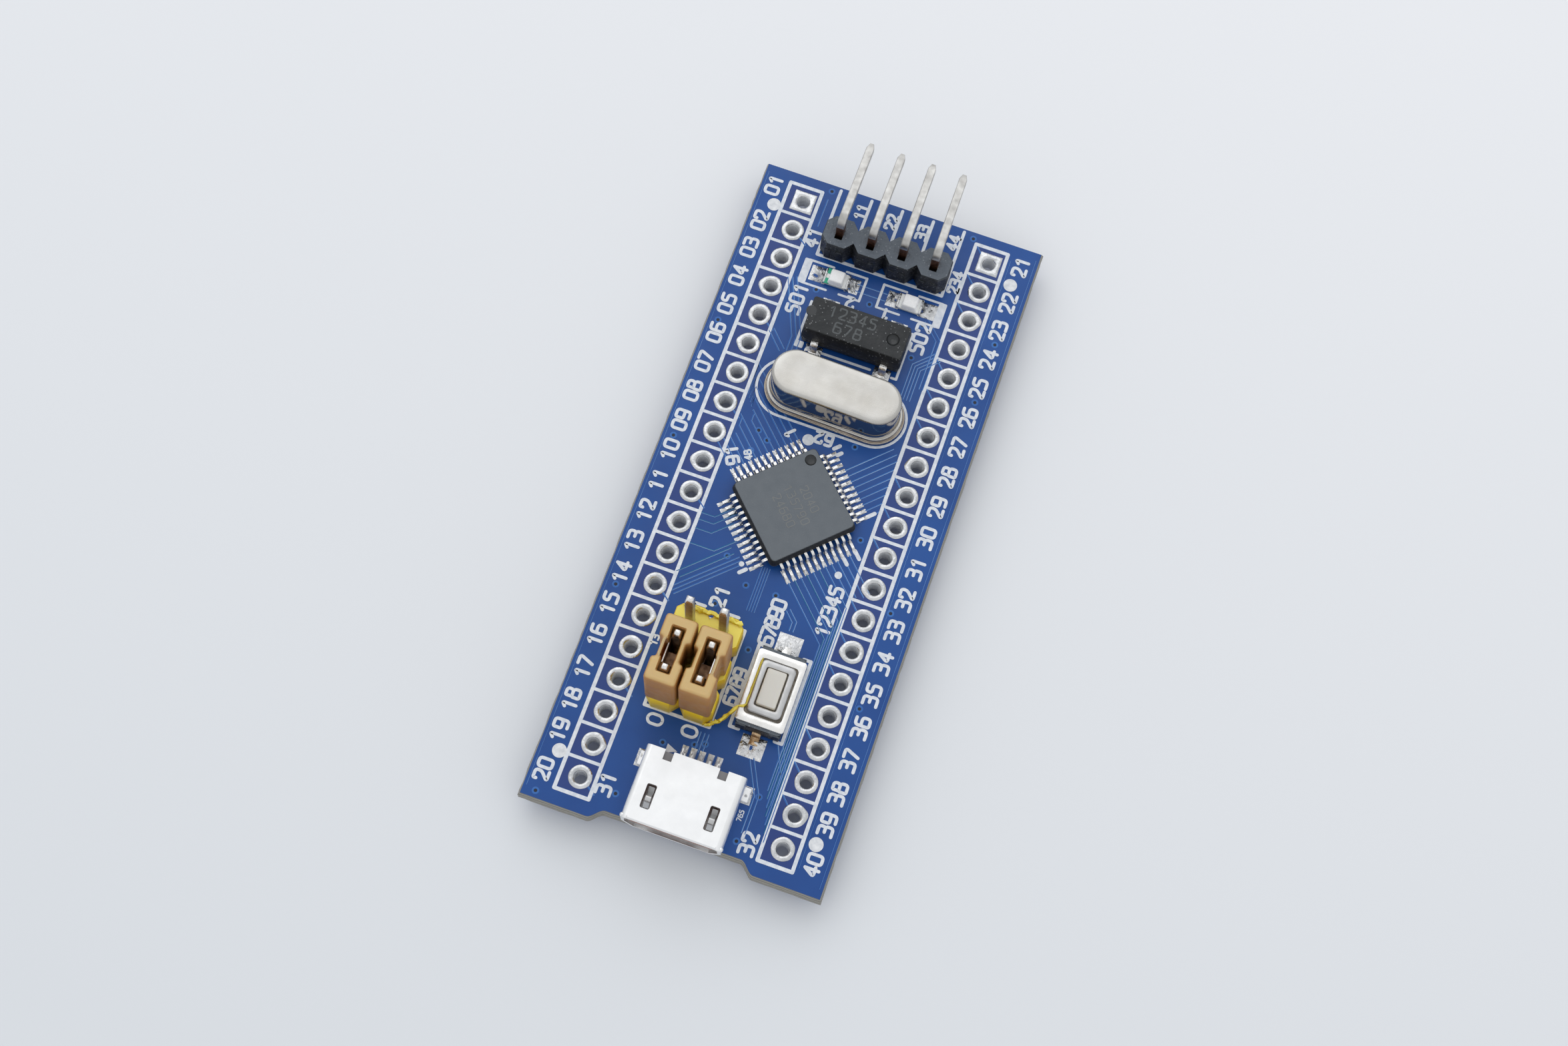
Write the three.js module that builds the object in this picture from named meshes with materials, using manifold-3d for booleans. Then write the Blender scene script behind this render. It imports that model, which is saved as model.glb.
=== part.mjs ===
// A small microcontroller dev board: a blue circuit board with two rows of header holes, a square
// microcontroller turned 45 degrees, two crystals, a debug header with bent pins, a boot header
// with two pull-off jumper caps, a reset button, a micro USB socket and two indicator lamps.
//
// Millimetres, +Z up. z = 0 is the board's underside, x = y = 0 the middle of the header holes.
// +Y points to the end with the debug header, and the USB socket is at the -Y end.

import * as THREE from 'three';
import { mergeVertices } from 'three/addons/utils/BufferGeometryUtils.js';
import Module from 'manifold-3d';

const wasm = await Module();
wasm.setup();

// ---------------------------------------------------------------- driving dimensions

const PITCH = 2.54;              // every header on the board shares this grid
const ROW_HOLES = 20;            // holes in each long row
const ROW_SPACING = 6 * PITCH;   // between the two long rows
const HOLE_D = 1.0;              // header hole
const HOLE_SIDES = 12;
const PAD_D = 1.76;              // tinned pad round a header hole
const COPPER = 0.035;            // how far a pad stands off the board

const BOARD = { w: 22.86, l: 53.34, t: 1.6, y: -0.12 };
const SCORE = 0.25;              // the snapped edges slope out this far to mid-thickness
const SCORE_Z = 0.45;            // height of that slope on each face
const USB_RECESS = { half: 5.1, outer: 6.25, depth: 0.8 };
const TOP = BOARD.t;             // the component side

const PIN = 0.64;                // square header pin
const PIN_GAP = 0.02;            // clearance of a pin in its housing
const PIN_HOLE_D = 1.0;          // board hole for a header pin
const TAIL = 1.4;                // how far a soldered pin tail stands out below the board
const HOUSING_H = 2.5;           // header housing
const CHAMFER = 0.45;            // cut corners of each header cell

const DEBUG = { x: -0.03, y: 21.5, pins: 4, bendZ: 1.8, tipY: 28.5 };
const BOOT = { x: -2.75, y: -13.85, cols: 2, rows: 3, pinTop: 8.1 };
const JUMPER = { w: 2.36, l: 4.98, h: 5.5, waist: 0.32, waistL: 1.6, slotW: 1.06, slotL: 3.36 };
const CLIP_T = 0.14;             // sheet of the jumper's contact clip

const MCU = { x: 0.02, y: -0.12, body: 7.0, h: 1.4, stand: 0.1, span: 9.0, leads: 12, step: 0.5 };
const MCU_LEAD = { w: 0.22, t: 0.13, z: 0.8, foot: 0.55 };

const CAN = { x: 0.08, y: 9.03, turn: -1.2, w: 10.1, d: 3.7, h: 3.55, sheet: 0.2 };
const CAN_BASE = { w: 11.05, d: 4.55, t: 0.4, z: 0.25 };
const CAN_LEAD = { d: 0.43, spread: 4.88, tail: 1.0 };

const WATCH = { x: -0.06, y: 14.45, w: 7.9, d: 3.2, h: 2.5, stand: 0.12, leadX: 2.75, leadW: 0.6 };

const BUTTON = { x: 3.12, y: -14.0, w: 3.4, l: 6.0, base: 1.55, travel: 0.25 };
const COVER = { w: 3.66, l: 5.5, sheet: 0.15, ringW: 2.5, ringL: 3.85, ringZ: 2.15 };
const PLUNGER = { w: 1.45, l: 2.75, top: 2.45, flangeW: 1.9, flangeL: 3.2 };

const USB = { x: -0.03, rear: -20.7, front: -26.2, w: 7.46, h: 2.6, sheet: 0.25 };
const USB_SLOT = { x: 2.35, w: 0.6, y0: -25.15, y1: -23.35 };
const USB_CONTACTS = { count: 5, step: 0.65, w: 0.3, t: 0.12 };

const LAMP = { y: 18.72, xs: [-3.02, 2.93], w: 2.0, d: 1.25, base: 0.35, lens: 0.82 };

// ---------------------------------------------------------------- materials

function finish(color, roughness, metalness) {
  return new THREE.MeshStandardMaterial({ color, roughness, metalness });
}

const MASK = finish(0x28559a, 0.4, 0);
const EPOXY = finish(0x5f6469, 0.65, 0);
const BLACK = finish(0x26282a, 0.6, 0);
const YELLOW = finish(0xe2c832, 0.45, 0);
const TAN = finish(0xd2a468, 0.5, 0);
const TIN = finish(0xd8d8d4, 0.3, 1);
const STEEL = finish(0xcfccc6, 0.28, 1);
const GOLD = finish(0xc9a45a, 0.3, 1);
const CREAM = finish(0xcfcbc0, 0.55, 0);
const WHITE = finish(0xeceae0, 0.5, 0);
const QUARTZ = finish(0xe6eef0, 0.1, 0);
const CERAMIC = finish(0x1b1b1d, 0.5, 0);
const CAPACITOR = finish(0xb59268, 0.5, 0);

// ---------------------------------------------------------------- shape helpers

const board = new THREE.Group();

function add(name, geometry, material, parent = board) {
  const mesh = new THREE.Mesh(geometry, material);
  mesh.name = name;
  parent.add(mesh);
  return mesh;
}

function toSolid(geometry) {
  const bare = geometry.clone();
  bare.deleteAttribute('normal');
  bare.deleteAttribute('uv');
  const merged = mergeVertices(bare, 1e-4);
  const vertProperties = Float32Array.from(merged.attributes.position.array);
  const triVerts = Uint32Array.from(merged.index.array);
  return new wasm.Manifold(new wasm.Mesh({ numProp: 3, vertProperties, triVerts }));
}

function toGeometry(solid) {
  const mesh = solid.getMesh();
  const geometry = new THREE.BufferGeometry();
  geometry.setAttribute('position', new THREE.BufferAttribute(mesh.vertProperties, 3));
  geometry.setIndex(new THREE.BufferAttribute(mesh.triVerts, 1));
  geometry.computeVertexNormals();
  return geometry;
}

function join(...parts) {
  return toGeometry(parts.map(toSolid).reduce((whole, part) => whole.add(part)));
}

function cut(part, ...tools) {
  return toGeometry(tools.map(toSolid).reduce((left, tool) => left.subtract(tool), toSolid(part)));
}

// A box by its size and the middle of its underside.
function box(w, d, h, x, y, z) {
  return new THREE.BoxGeometry(w, d, h).translate(x, y, z + h / 2);
}

// A round rod standing on z, with flats facing the axes when sides is a multiple of 4.
function rod(diameter, h, x, y, z, sides = 12) {
  const r = diameter / 2;
  return new THREE.CylinderGeometry(r, r, h, sides).rotateX(Math.PI / 2).translate(x, y, z + h / 2);
}

function polygon(points) {
  return new THREE.Shape(points.map(([x, y]) => new THREE.Vector2(x, y)));
}

function extrude(shape, depth, curveSegments = 4) {
  return new THREE.ExtrudeGeometry(shape, { depth, bevelEnabled: false, curveSegments });
}

const X = new THREE.Vector3(1, 0, 0);
const Y = new THREE.Vector3(0, 1, 0);
const Z = new THREE.Vector3(0, 0, 1);

// A side view drawn in (y, z), given a width along x and centred on x.
function fromSide(shape, width, x, curveSegments) {
  const solid = extrude(shape, width, curveSegments);
  return solid.applyMatrix4(new THREE.Matrix4().makeBasis(Y, Z, X)).translate(x - width / 2, 0, 0);
}

// A front view drawn in (x, z), running from yRear towards -Y.
function fromFront(shape, depth, yRear, curveSegments) {
  const solid = extrude(shape, depth, curveSegments);
  const back = Y.clone().negate();
  return solid.applyMatrix4(new THREE.Matrix4().makeBasis(X, Z, back)).translate(0, yRear, 0);
}

// A closed convex solid through rounded rectangles: rings are [width, depth, corner radius, z].
function loft(rings, x, y, cornerSteps = 3) {
  const perRing = 4 * (cornerSteps + 1);
  const positions = [];
  for (const [w, d, r, z] of rings) {
    for (let corner = 0; corner < 4; corner += 1) {
      const sx = corner === 0 || corner === 3 ? 1 : -1;
      const sy = corner < 2 ? 1 : -1;
      for (let step = 0; step <= cornerSteps; step += 1) {
        const angle = (corner + step / cornerSteps) * Math.PI / 2;
        positions.push(x + sx * (w / 2 - r) + r * Math.cos(angle));
        positions.push(y + sy * (d / 2 - r) + r * Math.sin(angle), z);
      }
    }
  }
  const last = (rings.length - 1) * perRing;
  positions.push(x, y, rings[0][3], x, y, rings.at(-1)[3]);
  const bottomMiddle = rings.length * perRing;
  const index = [];
  for (let i = 0; i < perRing; i += 1) {
    const j = (i + 1) % perRing;
    index.push(bottomMiddle, j, i, bottomMiddle + 1, last + i, last + j);
    for (let ring = 0; ring < last; ring += perRing) {
      index.push(ring + i, ring + j, ring + perRing + j, ring + i, ring + perRing + j, ring + perRing + i);
    }
  }
  const geometry = new THREE.BufferGeometry();
  geometry.setAttribute('position', new THREE.Float32BufferAttribute(positions, 3));
  geometry.setIndex(index);
  geometry.computeVertexNormals();
  return geometry;
}

// The middles of count places, step apart, about 0.
function spread(count, step) {
  return Array.from({ length: count }, (_, i) => (i - (count - 1) / 2) * step);
}

// ---------------------------------------------------------------- circuit board

function boardOutline() {
  const halfW = BOARD.w / 2 - SCORE;
  const rear = BOARD.y + BOARD.l / 2 - SCORE;
  const front = BOARD.y - BOARD.l / 2 + SCORE;
  const recess = front + USB_RECESS.depth;
  const { half, outer } = USB_RECESS;
  const edge = [[half, recess], [half + 0.35, recess - 0.12], [outer - 0.35, front + 0.24], [outer, front]];
  const left = edge.map(([x, y]) => [-x, y]).reverse();
  return polygon([...left, ...edge, [halfW, front], [halfW, rear], [-halfW, rear], [-halfW, front]]);
}

const rowXs = [-ROW_SPACING / 2, ROW_SPACING / 2];
const rowYs = spread(ROW_HOLES, PITCH);
const debugXs = spread(DEBUG.pins, PITCH).map((x) => x + DEBUG.x);
const bootXs = spread(BOOT.cols, PITCH).map((x) => x + BOOT.x);
const bootYs = spread(BOOT.rows, PITCH).map((y) => y + BOOT.y);
const canTurn = THREE.MathUtils.degToRad(CAN.turn);
const canLeads = spread(2, CAN_LEAD.spread).map((s) => [s * Math.cos(canTurn), s * Math.sin(canTurn)]);

function circuitBoard() {
  const slab = new THREE.ExtrudeGeometry(boardOutline(), {
    depth: BOARD.t - 2 * SCORE_Z,
    bevelThickness: SCORE_Z,
    bevelSize: SCORE,
    bevelSegments: 1,
  }).translate(0, 0, SCORE_Z);
  const pads = [];
  for (const x of rowXs) {
    pads.push(box(PAD_D, PAD_D, COPPER + 0.1, x, rowYs.at(-1), TOP - 0.1));
    pads.push(rod(PAD_D, COPPER + 0.1, x, rowYs[0], TOP - 0.1, 16));
  }
  const through = [-1, BOARD.t + 2];
  const hole = (x, y, d, sides) => rod(d, through[1], x, y, through[0], sides);
  const holes = rowXs.flatMap((x) => rowYs.map((y) => hole(x, y, HOLE_D, HOLE_SIDES)));
  for (const x of debugXs) holes.push(hole(x, DEBUG.y, PIN_HOLE_D, 8));
  for (const x of bootXs) holes.push(...bootYs.map((y) => hole(x, y, PIN_HOLE_D, 8)));
  for (const [x, y] of canLeads) holes.push(hole(CAN.x + x, CAN.y + y, 0.8, 8));
  return cut(join(slab, ...pads), ...holes);
}

add('circuit_board', circuitBoard(), MASK);

// ---------------------------------------------------------------- microcontroller

function mcuPackage() {
  const { body, h, stand } = MCU;
  const lead = TOP + MCU_LEAD.z;
  const low = TOP + stand;
  const rings = [[body - 0.3, body - 0.3, 0.35, low], [body, body, 0.4, lead - 0.07]];
  rings.push([body, body, 0.4, lead + 0.07], [body - 0.3, body - 0.3, 0.35, low + h]);
  const groove = 0.36;
  const slot = cut(
    box(body + 1, body + 1, MCU_LEAD.t, 0, 0, lead - MCU_LEAD.t / 2),
    box(body - 2 * groove, body - 2 * groove, 1, 0, 0, lead - 0.5),
  );
  const dimple = rod(0.8, 0.3, -body / 2 + 0.85, body / 2 - 0.85, low + h - 0.08, 12);
  return cut(loft(rings, 0, 0, 2), slot, dimple);
}

// One side's leads: each drops in a gull wing to its foot, and the bar in the package joins them.
function leadComb() {
  const { t, z, w, foot } = MCU_LEAD;
  const root = MCU.body / 2 - 0.34;
  const end = MCU.span / 2;
  const knee = end - foot;
  const up = z + t / 2;
  const outline = [[root, up - t], [knee - 0.2, up - t], [knee - 0.06, 0], [end, 0], [end, t]];
  outline.push([knee + 0.06, t], [knee - 0.08, up], [root, up]);
  const lead = fromFront(polygon(outline), w, 0).translate(0, w / 2, TOP);
  const leads = spread(MCU.leads, MCU.step).map((y) => lead.clone().translate(0, y, 0));
  const bar = box(0.2, MCU.leads * MCU.step - 0.1, t, root + 0.1, 0, TOP + z - t / 2);
  return join(bar, ...leads);
}

const mcu = new THREE.Group();
mcu.position.set(MCU.x, MCU.y, 0);
mcu.rotation.z = -Math.PI / 4;
board.add(mcu);
add('mcu_package', mcuPackage(), EPOXY, mcu);
['north_east', 'north_west', 'south_west', 'south_east'].forEach((side, i) => {
  add(`mcu_leads_${side}`, leadComb(), TIN, mcu).rotation.z = (i + 1) * Math.PI / 2;
});

// ---------------------------------------------------------------- fast crystal in a metal can

const can = new THREE.Group();
can.position.set(CAN.x, CAN.y, TOP);
can.rotation.z = canTurn;
board.add(can);

function canShell() {
  const { w, d, h, sheet } = CAN;
  const low = CAN_BASE.z + CAN_BASE.t;
  const lip = 0.5;
  const outer = loft([
    [w + lip, d + lip, (d + lip) / 2, low], [w + lip, d + lip, (d + lip) / 2, low + 0.15],
    [w, d, d / 2, low + 0.4], [w, d, d / 2, h - 0.35],
    [w - 0.2, d - 0.2, (d - 0.2) / 2, h - 0.1], [w - 0.7, d - 0.7, (d - 0.7) / 2, h],
  ], 0, 0, 5);
  const inside = [w - 2 * sheet, d - 2 * sheet, d / 2 - sheet];
  return cut(outer, loft([[...inside, low - 1], [...inside, h - sheet]], 0, 0, 5));
}

function canFlange() {
  const { w, d, t, z } = CAN_BASE;
  const plate = loft([[w, d, d / 2, z], [w, d, d / 2, z + t]], 0, 0, 5);
  return cut(plate, ...spread(2, CAN_LEAD.spread).map((x) => rod(1.0, t + 1, x, 0, z - 0.5, 12)));
}

// A round lead comes up through the flange and ends in the slotted post that grips the blank.
function canLead(x) {
  const base = -BOARD.t - CAN_LEAD.tail;
  const top = CAN_BASE.z + CAN_BASE.t + 0.15;
  const post = box(0.8, 0.8, 1.2, x, 0, top);
  const slot = box(1, 0.32, 1.2, x, 0, top + 0.2);
  return cut(join(rod(CAN_LEAD.d, top - base + 0.1, x, 0, base, 10), post), slot);
}

add('fast_crystal_can', canShell(), STEEL, can);
add('fast_crystal_flange', canFlange(), STEEL, can);
add('fast_crystal_blank', box(7.6, 0.2, 1.9, 0, 0, CAN_BASE.z + CAN_BASE.t + 0.4), QUARTZ, can);
spread(2, CAN_LEAD.spread).forEach((x, i) => {
  add(`fast_crystal_lead_${i + 1}`, canLead(x), TIN, can);
});

// ---------------------------------------------------------------- watch crystal in black resin

function watchBody() {
  const { w, d, h, stand, x, y } = WATCH;
  const mid = TOP + 1.2;
  const rings = [[w - 0.25, d - 0.35, 0.15, TOP + stand], [w, d, 0.2, mid - 0.1]];
  rings.push([w, d, 0.2, mid + 0.1], [w - 0.2, d - 0.5, 0.2, TOP + h]);
  const dimple = rod(1.0, 1, x + 2.82, y, TOP + h - 0.12, 16);
  const notch = rod(0.9, 1, x - w / 2 + 0.1, y + 0.1, TOP + h - 0.25, 16);
  return cut(loft(rings, x, y, 2), dimple, notch);
}

// A flat lead leaves the resin at mid-height, drops beside it and turns out on its pad.
function watchLead() {
  const face = WATCH.d / 2;
  const outline = [[face, 0.95], [face, 1.1], [face + 0.35, 1.1], [face + 0.48, 0.16]];
  outline.push([face + 0.8, 0.16], [face + 0.8, 0], [face + 0.33, 0], [face + 0.22, 0.95]);
  return fromSide(polygon(outline.reverse()), WATCH.leadW, 0);
}

add('watch_crystal_body', watchBody(), BLACK);
[[-1, -1], [1, -1], [1, 1], [-1, 1]].forEach(([sx, sy], i) => {
  const lead = add(`watch_crystal_lead_${i + 1}`, watchLead(), TIN);
  lead.position.set(WATCH.x + sx * WATCH.leadX, WATCH.y, TOP);
  lead.rotation.z = sy < 0 ? Math.PI : 0;
});

// ---------------------------------------------------------------- header housings and pins

// Cells with cut corners, side by side: the outline of a header housing.
function cellsOutline(cols, rows) {
  const points = [];
  const half = PITCH / 2;
  const run = (count, place) => {
    for (const along of spread(count, PITCH)) {
      points.push(place(along - half + CHAMFER), place(along + half - CHAMFER));
    }
  };
  run(cols, (s) => [s, -rows * half]);
  run(rows, (s) => [cols * half, s]);
  run(cols, (s) => [-s, rows * half]);
  run(rows, (s) => [-cols * half, -s]);
  return notched(points, cols, rows);
}

// Between two cells on one side, the outline dips to a notch as deep as the cut corners.
function notched(points, cols, rows) {
  const out = [];
  points.forEach((point, i) => {
    const next = points[(i + 1) % points.length];
    out.push(point);
    const sameX = Math.abs(point[0] - next[0]) < 1e-6;
    const sameY = Math.abs(point[1] - next[1]) < 1e-6;
    const gap = Math.hypot(next[0] - point[0], next[1] - point[1]);
    if ((sameX || sameY) && Math.abs(gap - 2 * CHAMFER) < 1e-6) {
      const depth = 0.7 * CHAMFER;
      const shrinkX = sameX ? 1 - depth / (cols * PITCH / 2) : 1;
      const shrinkY = sameY ? 1 - depth / (rows * PITCH / 2) : 1;
      out.push([(point[0] + next[0]) / 2 * shrinkX, (point[1] + next[1]) / 2 * shrinkY]);
    }
  });
  return polygon(out);
}

function debugHousing() {
  const block = extrude(cellsOutline(DEBUG.pins, 1), HOUSING_H).translate(DEBUG.x, DEBUG.y, TOP);
  const bore = PIN + 2 * PIN_GAP;
  const tools = debugXs.flatMap((x) => [
    box(bore, bore, HOUSING_H + 1, x, DEBUG.y, TOP - 0.5),
    box(bore, 0.6, 1, x, DEBUG.y - 0.3, TOP + HOUSING_H - 0.8),
  ]);
  return cut(block, ...tools);
}

// A square pin: a tail through the board, up through the housing, then bent out past the edge.
function debugPin(x) {
  const half = PIN / 2;
  const bottom = -TAIL;
  const level = TOP + HOUSING_H + DEBUG.bendZ;
  const outer = 0.9;
  const shape = new THREE.Shape();
  shape.moveTo(DEBUG.y + half, bottom + 0.3);
  shape.lineTo(DEBUG.y + half, level - half - (outer - PIN));
  shape.absarc(DEBUG.y - half + outer, level + half - outer, outer - PIN, Math.PI, Math.PI / 2, true);
  shape.lineTo(DEBUG.tipY - 0.5, level - half);
  shape.lineTo(DEBUG.tipY, level - half + 0.16);
  shape.lineTo(DEBUG.tipY, level + half - 0.16);
  shape.lineTo(DEBUG.tipY - 0.5, level + half);
  shape.absarc(DEBUG.y - half + outer, level + half - outer, outer, Math.PI / 2, Math.PI, false);
  shape.lineTo(DEBUG.y - half, bottom + 0.3);
  shape.lineTo(DEBUG.y - half + 0.16, bottom);
  shape.lineTo(DEBUG.y + half - 0.16, bottom);
  const geometry = fromSide(shape, PIN, 0, 4);
  const at = geometry.attributes.position;
  for (let i = 0; i < at.count; i += 1) {
    const atTip = at.getY(i) > DEBUG.tipY - 0.01 || at.getZ(i) < bottom + 0.01;
    if (atTip) at.setX(i, at.getX(i) / 2);
  }
  return geometry.translate(x, 0, 0);
}

function bootHousing() {
  const outline = cellsOutline(BOOT.cols, BOOT.rows);
  const block = extrude(outline, HOUSING_H).translate(BOOT.x, BOOT.y, TOP);
  const bore = PIN + 2 * PIN_GAP;
  const bores = bootXs.flatMap((x) => bootYs.map((y) => box(bore, bore, HOUSING_H + 1, x, y, TOP - 0.5)));
  return cut(block, ...bores);
}

function bootPin(x, y) {
  const r = PIN / Math.SQRT2;
  const top = TOP + BOOT.pinTop;
  const side = [[0, -TAIL], [r / 2, -TAIL], [r, 0.4 - TAIL], [r, top - 0.4], [r / 2, top], [0, top]];
  const lathe = new THREE.LatheGeometry(side.map(([a, b]) => new THREE.Vector2(a, b)), 4, Math.PI / 4);
  return toGeometry(toSolid(lathe)).rotateX(Math.PI / 2).translate(x, y, 0);
}

add('debug_housing', debugHousing(), BLACK);
debugXs.forEach((x, i) => add(`debug_pin_${i + 1}`, debugPin(x), TIN));
add('boot_housing', bootHousing(), YELLOW);
bootYs.toReversed().forEach((y, row) => bootXs.forEach((x, col) => {
  add(`boot_pin_${row * BOOT.cols + col + 1}`, bootPin(x, y), TIN);
}));

// ---------------------------------------------------------------- jumper caps

// A sleeve over two pins, waisted at the middle, open at the top and wider where the clip shows.
function jumperCap() {
  const { w, l, h, waist, waistL, slotW, slotL } = JUMPER;
  const cap = loft([[w, l, 0.25, 0], [w, l, 0.25, h - 0.15], [w - 0.2, l - 0.2, 0.2, h]], 0, 0, 2);
  const side = (s) => box(2 * waist, waistL, h + 1, s * w / 2, 0, -0.5);
  return cut(cap, box(slotW, slotL, h + 1, 0, 0, -0.5), side(1), side(-1));
}

// Two spring plates that grip both pins from the sides, with a bridge between the pins.
function jumperClip() {
  const inner = PIN / 2 + PIN_GAP;
  const outer = inner + CLIP_T;
  const length = JUMPER.slotL - 0.2;
  const plate = (s) => box(CLIP_T, length, JUMPER.h - 1.4, s * (inner + outer) / 2, 0, 0.4);
  return join(plate(1), plate(-1), box(2 * outer, 1.1, CLIP_T, 0, 0, 2.6));
}

const seatZ = TOP + HOUSING_H;
const seatY = (bootYs[0] + bootYs[1]) / 2;
['left', 'right'].forEach((side, i) => {
  const jumper = new THREE.Group();
  jumper.position.set(bootXs[i], seatY, seatZ);
  board.add(jumper);
  add(`jumper_cap_${side}`, jumperCap(), TAN, jumper);
  add(`jumper_clip_${side}`, jumperClip(), TIN, jumper);
});

// ---------------------------------------------------------------- reset button

const button = new THREE.Group();
button.position.set(BUTTON.x, BUTTON.y, TOP);
board.add(button);

const WELL = { w: 2.2, l: 3.5, floor: 0.7 };
const DOME = { r: 0.95, rise: 0.3, sheet: 0.07 };

function buttonBase() {
  const { w, l, base } = BUTTON;
  const block = loft([[w, l, 0.2, 0], [w, l, 0.2, base]], 0, 0, 1);
  return cut(block, box(WELL.w, WELL.l, base, 0, 0, WELL.floor));
}

function buttonDome() {
  const steps = 4;
  const arc = (lift) => Array.from({ length: steps + 1 }, (_, i) => {
    const r = DOME.r * i / steps;
    return new THREE.Vector2(r, lift + DOME.rise * (1 - (i / steps) ** 2));
  });
  const profile = [...arc(0), ...arc(DOME.sheet).reverse()];
  const dome = new THREE.LatheGeometry(profile, 16).rotateX(Math.PI / 2);
  return toGeometry(toSolid(dome)).translate(0, 0, WELL.floor + 0.01);
}

function buttonPlunger() {
  const { w, l, top, flangeW, flangeL } = PLUNGER;
  const flange = loft([[flangeW, flangeL, 0.15, 1.27], [flangeW, flangeL, 0.15, BUTTON.base]], 0, 0, 1);
  const stem = loft([[w, l, 0.12, 1.4], [w, l, 0.12, top - 0.1], [w - 0.2, l - 0.2, 0.1, top]], 0, 0, 2);
  const boss = rod(0.8, 0.4, 0, 0, WELL.floor + DOME.rise + DOME.sheet + 0.03, 12);
  return join(flange, stem, boss);
}

// Bent sheet: a top plate with a raised ring round the plunger, and a skirt down each long side.
function buttonCover() {
  const { w, l, sheet, ringW, ringL, ringZ } = COVER;
  const plateZ = BUTTON.base + 0.02;
  const plate = loft([[w, l, 0.25, plateZ], [w, l, 0.25, plateZ + sheet]], 0, 0, 2);
  const skirt = (s) => box(0.12, l - 0.8, plateZ + 0.05, s * (w / 2 - 0.06), 0, 0.05);
  const ring = loft([
    [ringW, ringL, 0.35, plateZ], [ringW, ringL, 0.35, ringZ - 0.1], [ringW - 0.2, ringL - 0.2, 0.3, ringZ],
  ], 0, 0, 2);
  const window = box(PLUNGER.w + 0.1, PLUNGER.l + 0.1, 3, 0, 0, plateZ - 1);
  return cut(join(plate, skirt(1), skirt(-1), ring), window);
}

function buttonTerminal() {
  return box(0.7, 0.85, 0.15, 0, BUTTON.l / 2 + 0.425, 0);
}

add('button_base', buttonBase(), BLACK, button);
add('button_dome', buttonDome(), STEEL, button);
add('button_plunger', buttonPlunger(), CREAM, button);
add('button_cover', buttonCover(), STEEL, button);
add('button_terminal_rear', buttonTerminal(), TIN, button);
add('button_terminal_front', buttonTerminal(), TIN, button).rotation.z = Math.PI;

// ---------------------------------------------------------------- micro USB socket

// The shell's front view, drawn inwards by an inset from its outer face.
function usbOutline(inset) {
  const half = USB.w / 2 - inset;
  const low = 0.05 + inset;
  const high = USB.h - inset;
  const foot = 2.95 - inset * 0.6;
  const r = 0.45 - inset;
  const right = [[foot, low], [half, 1.2 + inset * 0.3], [half, high - r], [half - r * 0.3, high - r * 0.3]];
  right.push([half - r, high]);
  return [...right, ...right.map(([x, z]) => [-x, z]).reverse()];
}

function usbShell() {
  const depth = USB.rear - USB.front;
  const outer = fromFront(polygon(usbOutline(0)), depth, USB.rear);
  const inner = fromFront(polygon(usbOutline(USB.sheet)), depth + 1, USB.rear + 0.5);
  const tab = (s) => box(0.75, 1.15, 0.25, s * 3.83, -21.38, 0);
  const leg = (s) => box(0.25, 1.15, 1.4, s * (USB.w / 2 - 0.125), -21.38, 0);
  const lip = (s) => box(0.3, 0.45, 0.3, s * (USB.w / 2 - 0.1), USB.front + 0.225, USB.h - 0.42);
  const feet = [-1, 1].flatMap((s) => [tab(s), leg(s), lip(s)]);
  const slotL = USB_SLOT.y1 - USB_SLOT.y0;
  const slotY = (USB_SLOT.y1 + USB_SLOT.y0) / 2;
  const slots = [-1, 1].map((s) => box(USB_SLOT.w, slotL, 1, s * USB_SLOT.x, slotY, USB.h - 0.5));
  const notches = [-1, 1].map((s) => box(0.65, 1.5, 1, s * 2.03, USB.rear, USB.h - 0.5));
  const underRear = box(3.6, 2.4, 0.6, 0, USB.rear, -0.1);
  return cut(join(outer, ...feet), inner, ...slots, ...notches, underRear);
}

// The insulator closes the rear of the shell and reaches forward as the tongue.
function usbInsulator() {
  const plug = fromFront(polygon(usbOutline(USB.sheet + 0.02)), 1.6, USB.rear - 0.1);
  const tongue = box(3.9, 3.2, 0.6, 0, -23.5, 1.25);
  const rows = spread(USB_CONTACTS.count, USB_CONTACTS.step);
  const grooves = rows.map((x) => box(USB_CONTACTS.w + 0.04, 9, USB_CONTACTS.t + 0.02, x, -23.5, 1.25));
  const exits = rows.map((x) => box(USB_CONTACTS.w + 0.04, 0.6, 1.5, x, USB.rear - 0.1, -0.1));
  return cut(join(plug, tongue), ...grooves, ...exits);
}

// A contact lies under the tongue, drops behind the insulator and ends on its pad.
function usbContact(x) {
  const { w, t } = USB_CONTACTS;
  const rear = USB.rear - 0.12;
  const z = 1.26;
  const outline = [[-24.9, z], [rear - t, z], [rear - t, 0], [rear + 1.1, 0], [rear + 1.1, t]];
  outline.push([rear, t], [rear, z + t], [-24.9, z + t]);
  return fromSide(polygon(outline), w, x);
}

const usb = new THREE.Group();
usb.position.set(USB.x, 0, TOP);
board.add(usb);
add('usb_shell', usbShell(), STEEL, usb);
add('usb_insulator', usbInsulator(), BLACK, usb);
spread(USB_CONTACTS.count, USB_CONTACTS.step).forEach((x, i) => {
  add(`usb_contact_${i + 1}`, usbContact(x), GOLD, usb);
});

// ---------------------------------------------------------------- indicator lamps

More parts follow.
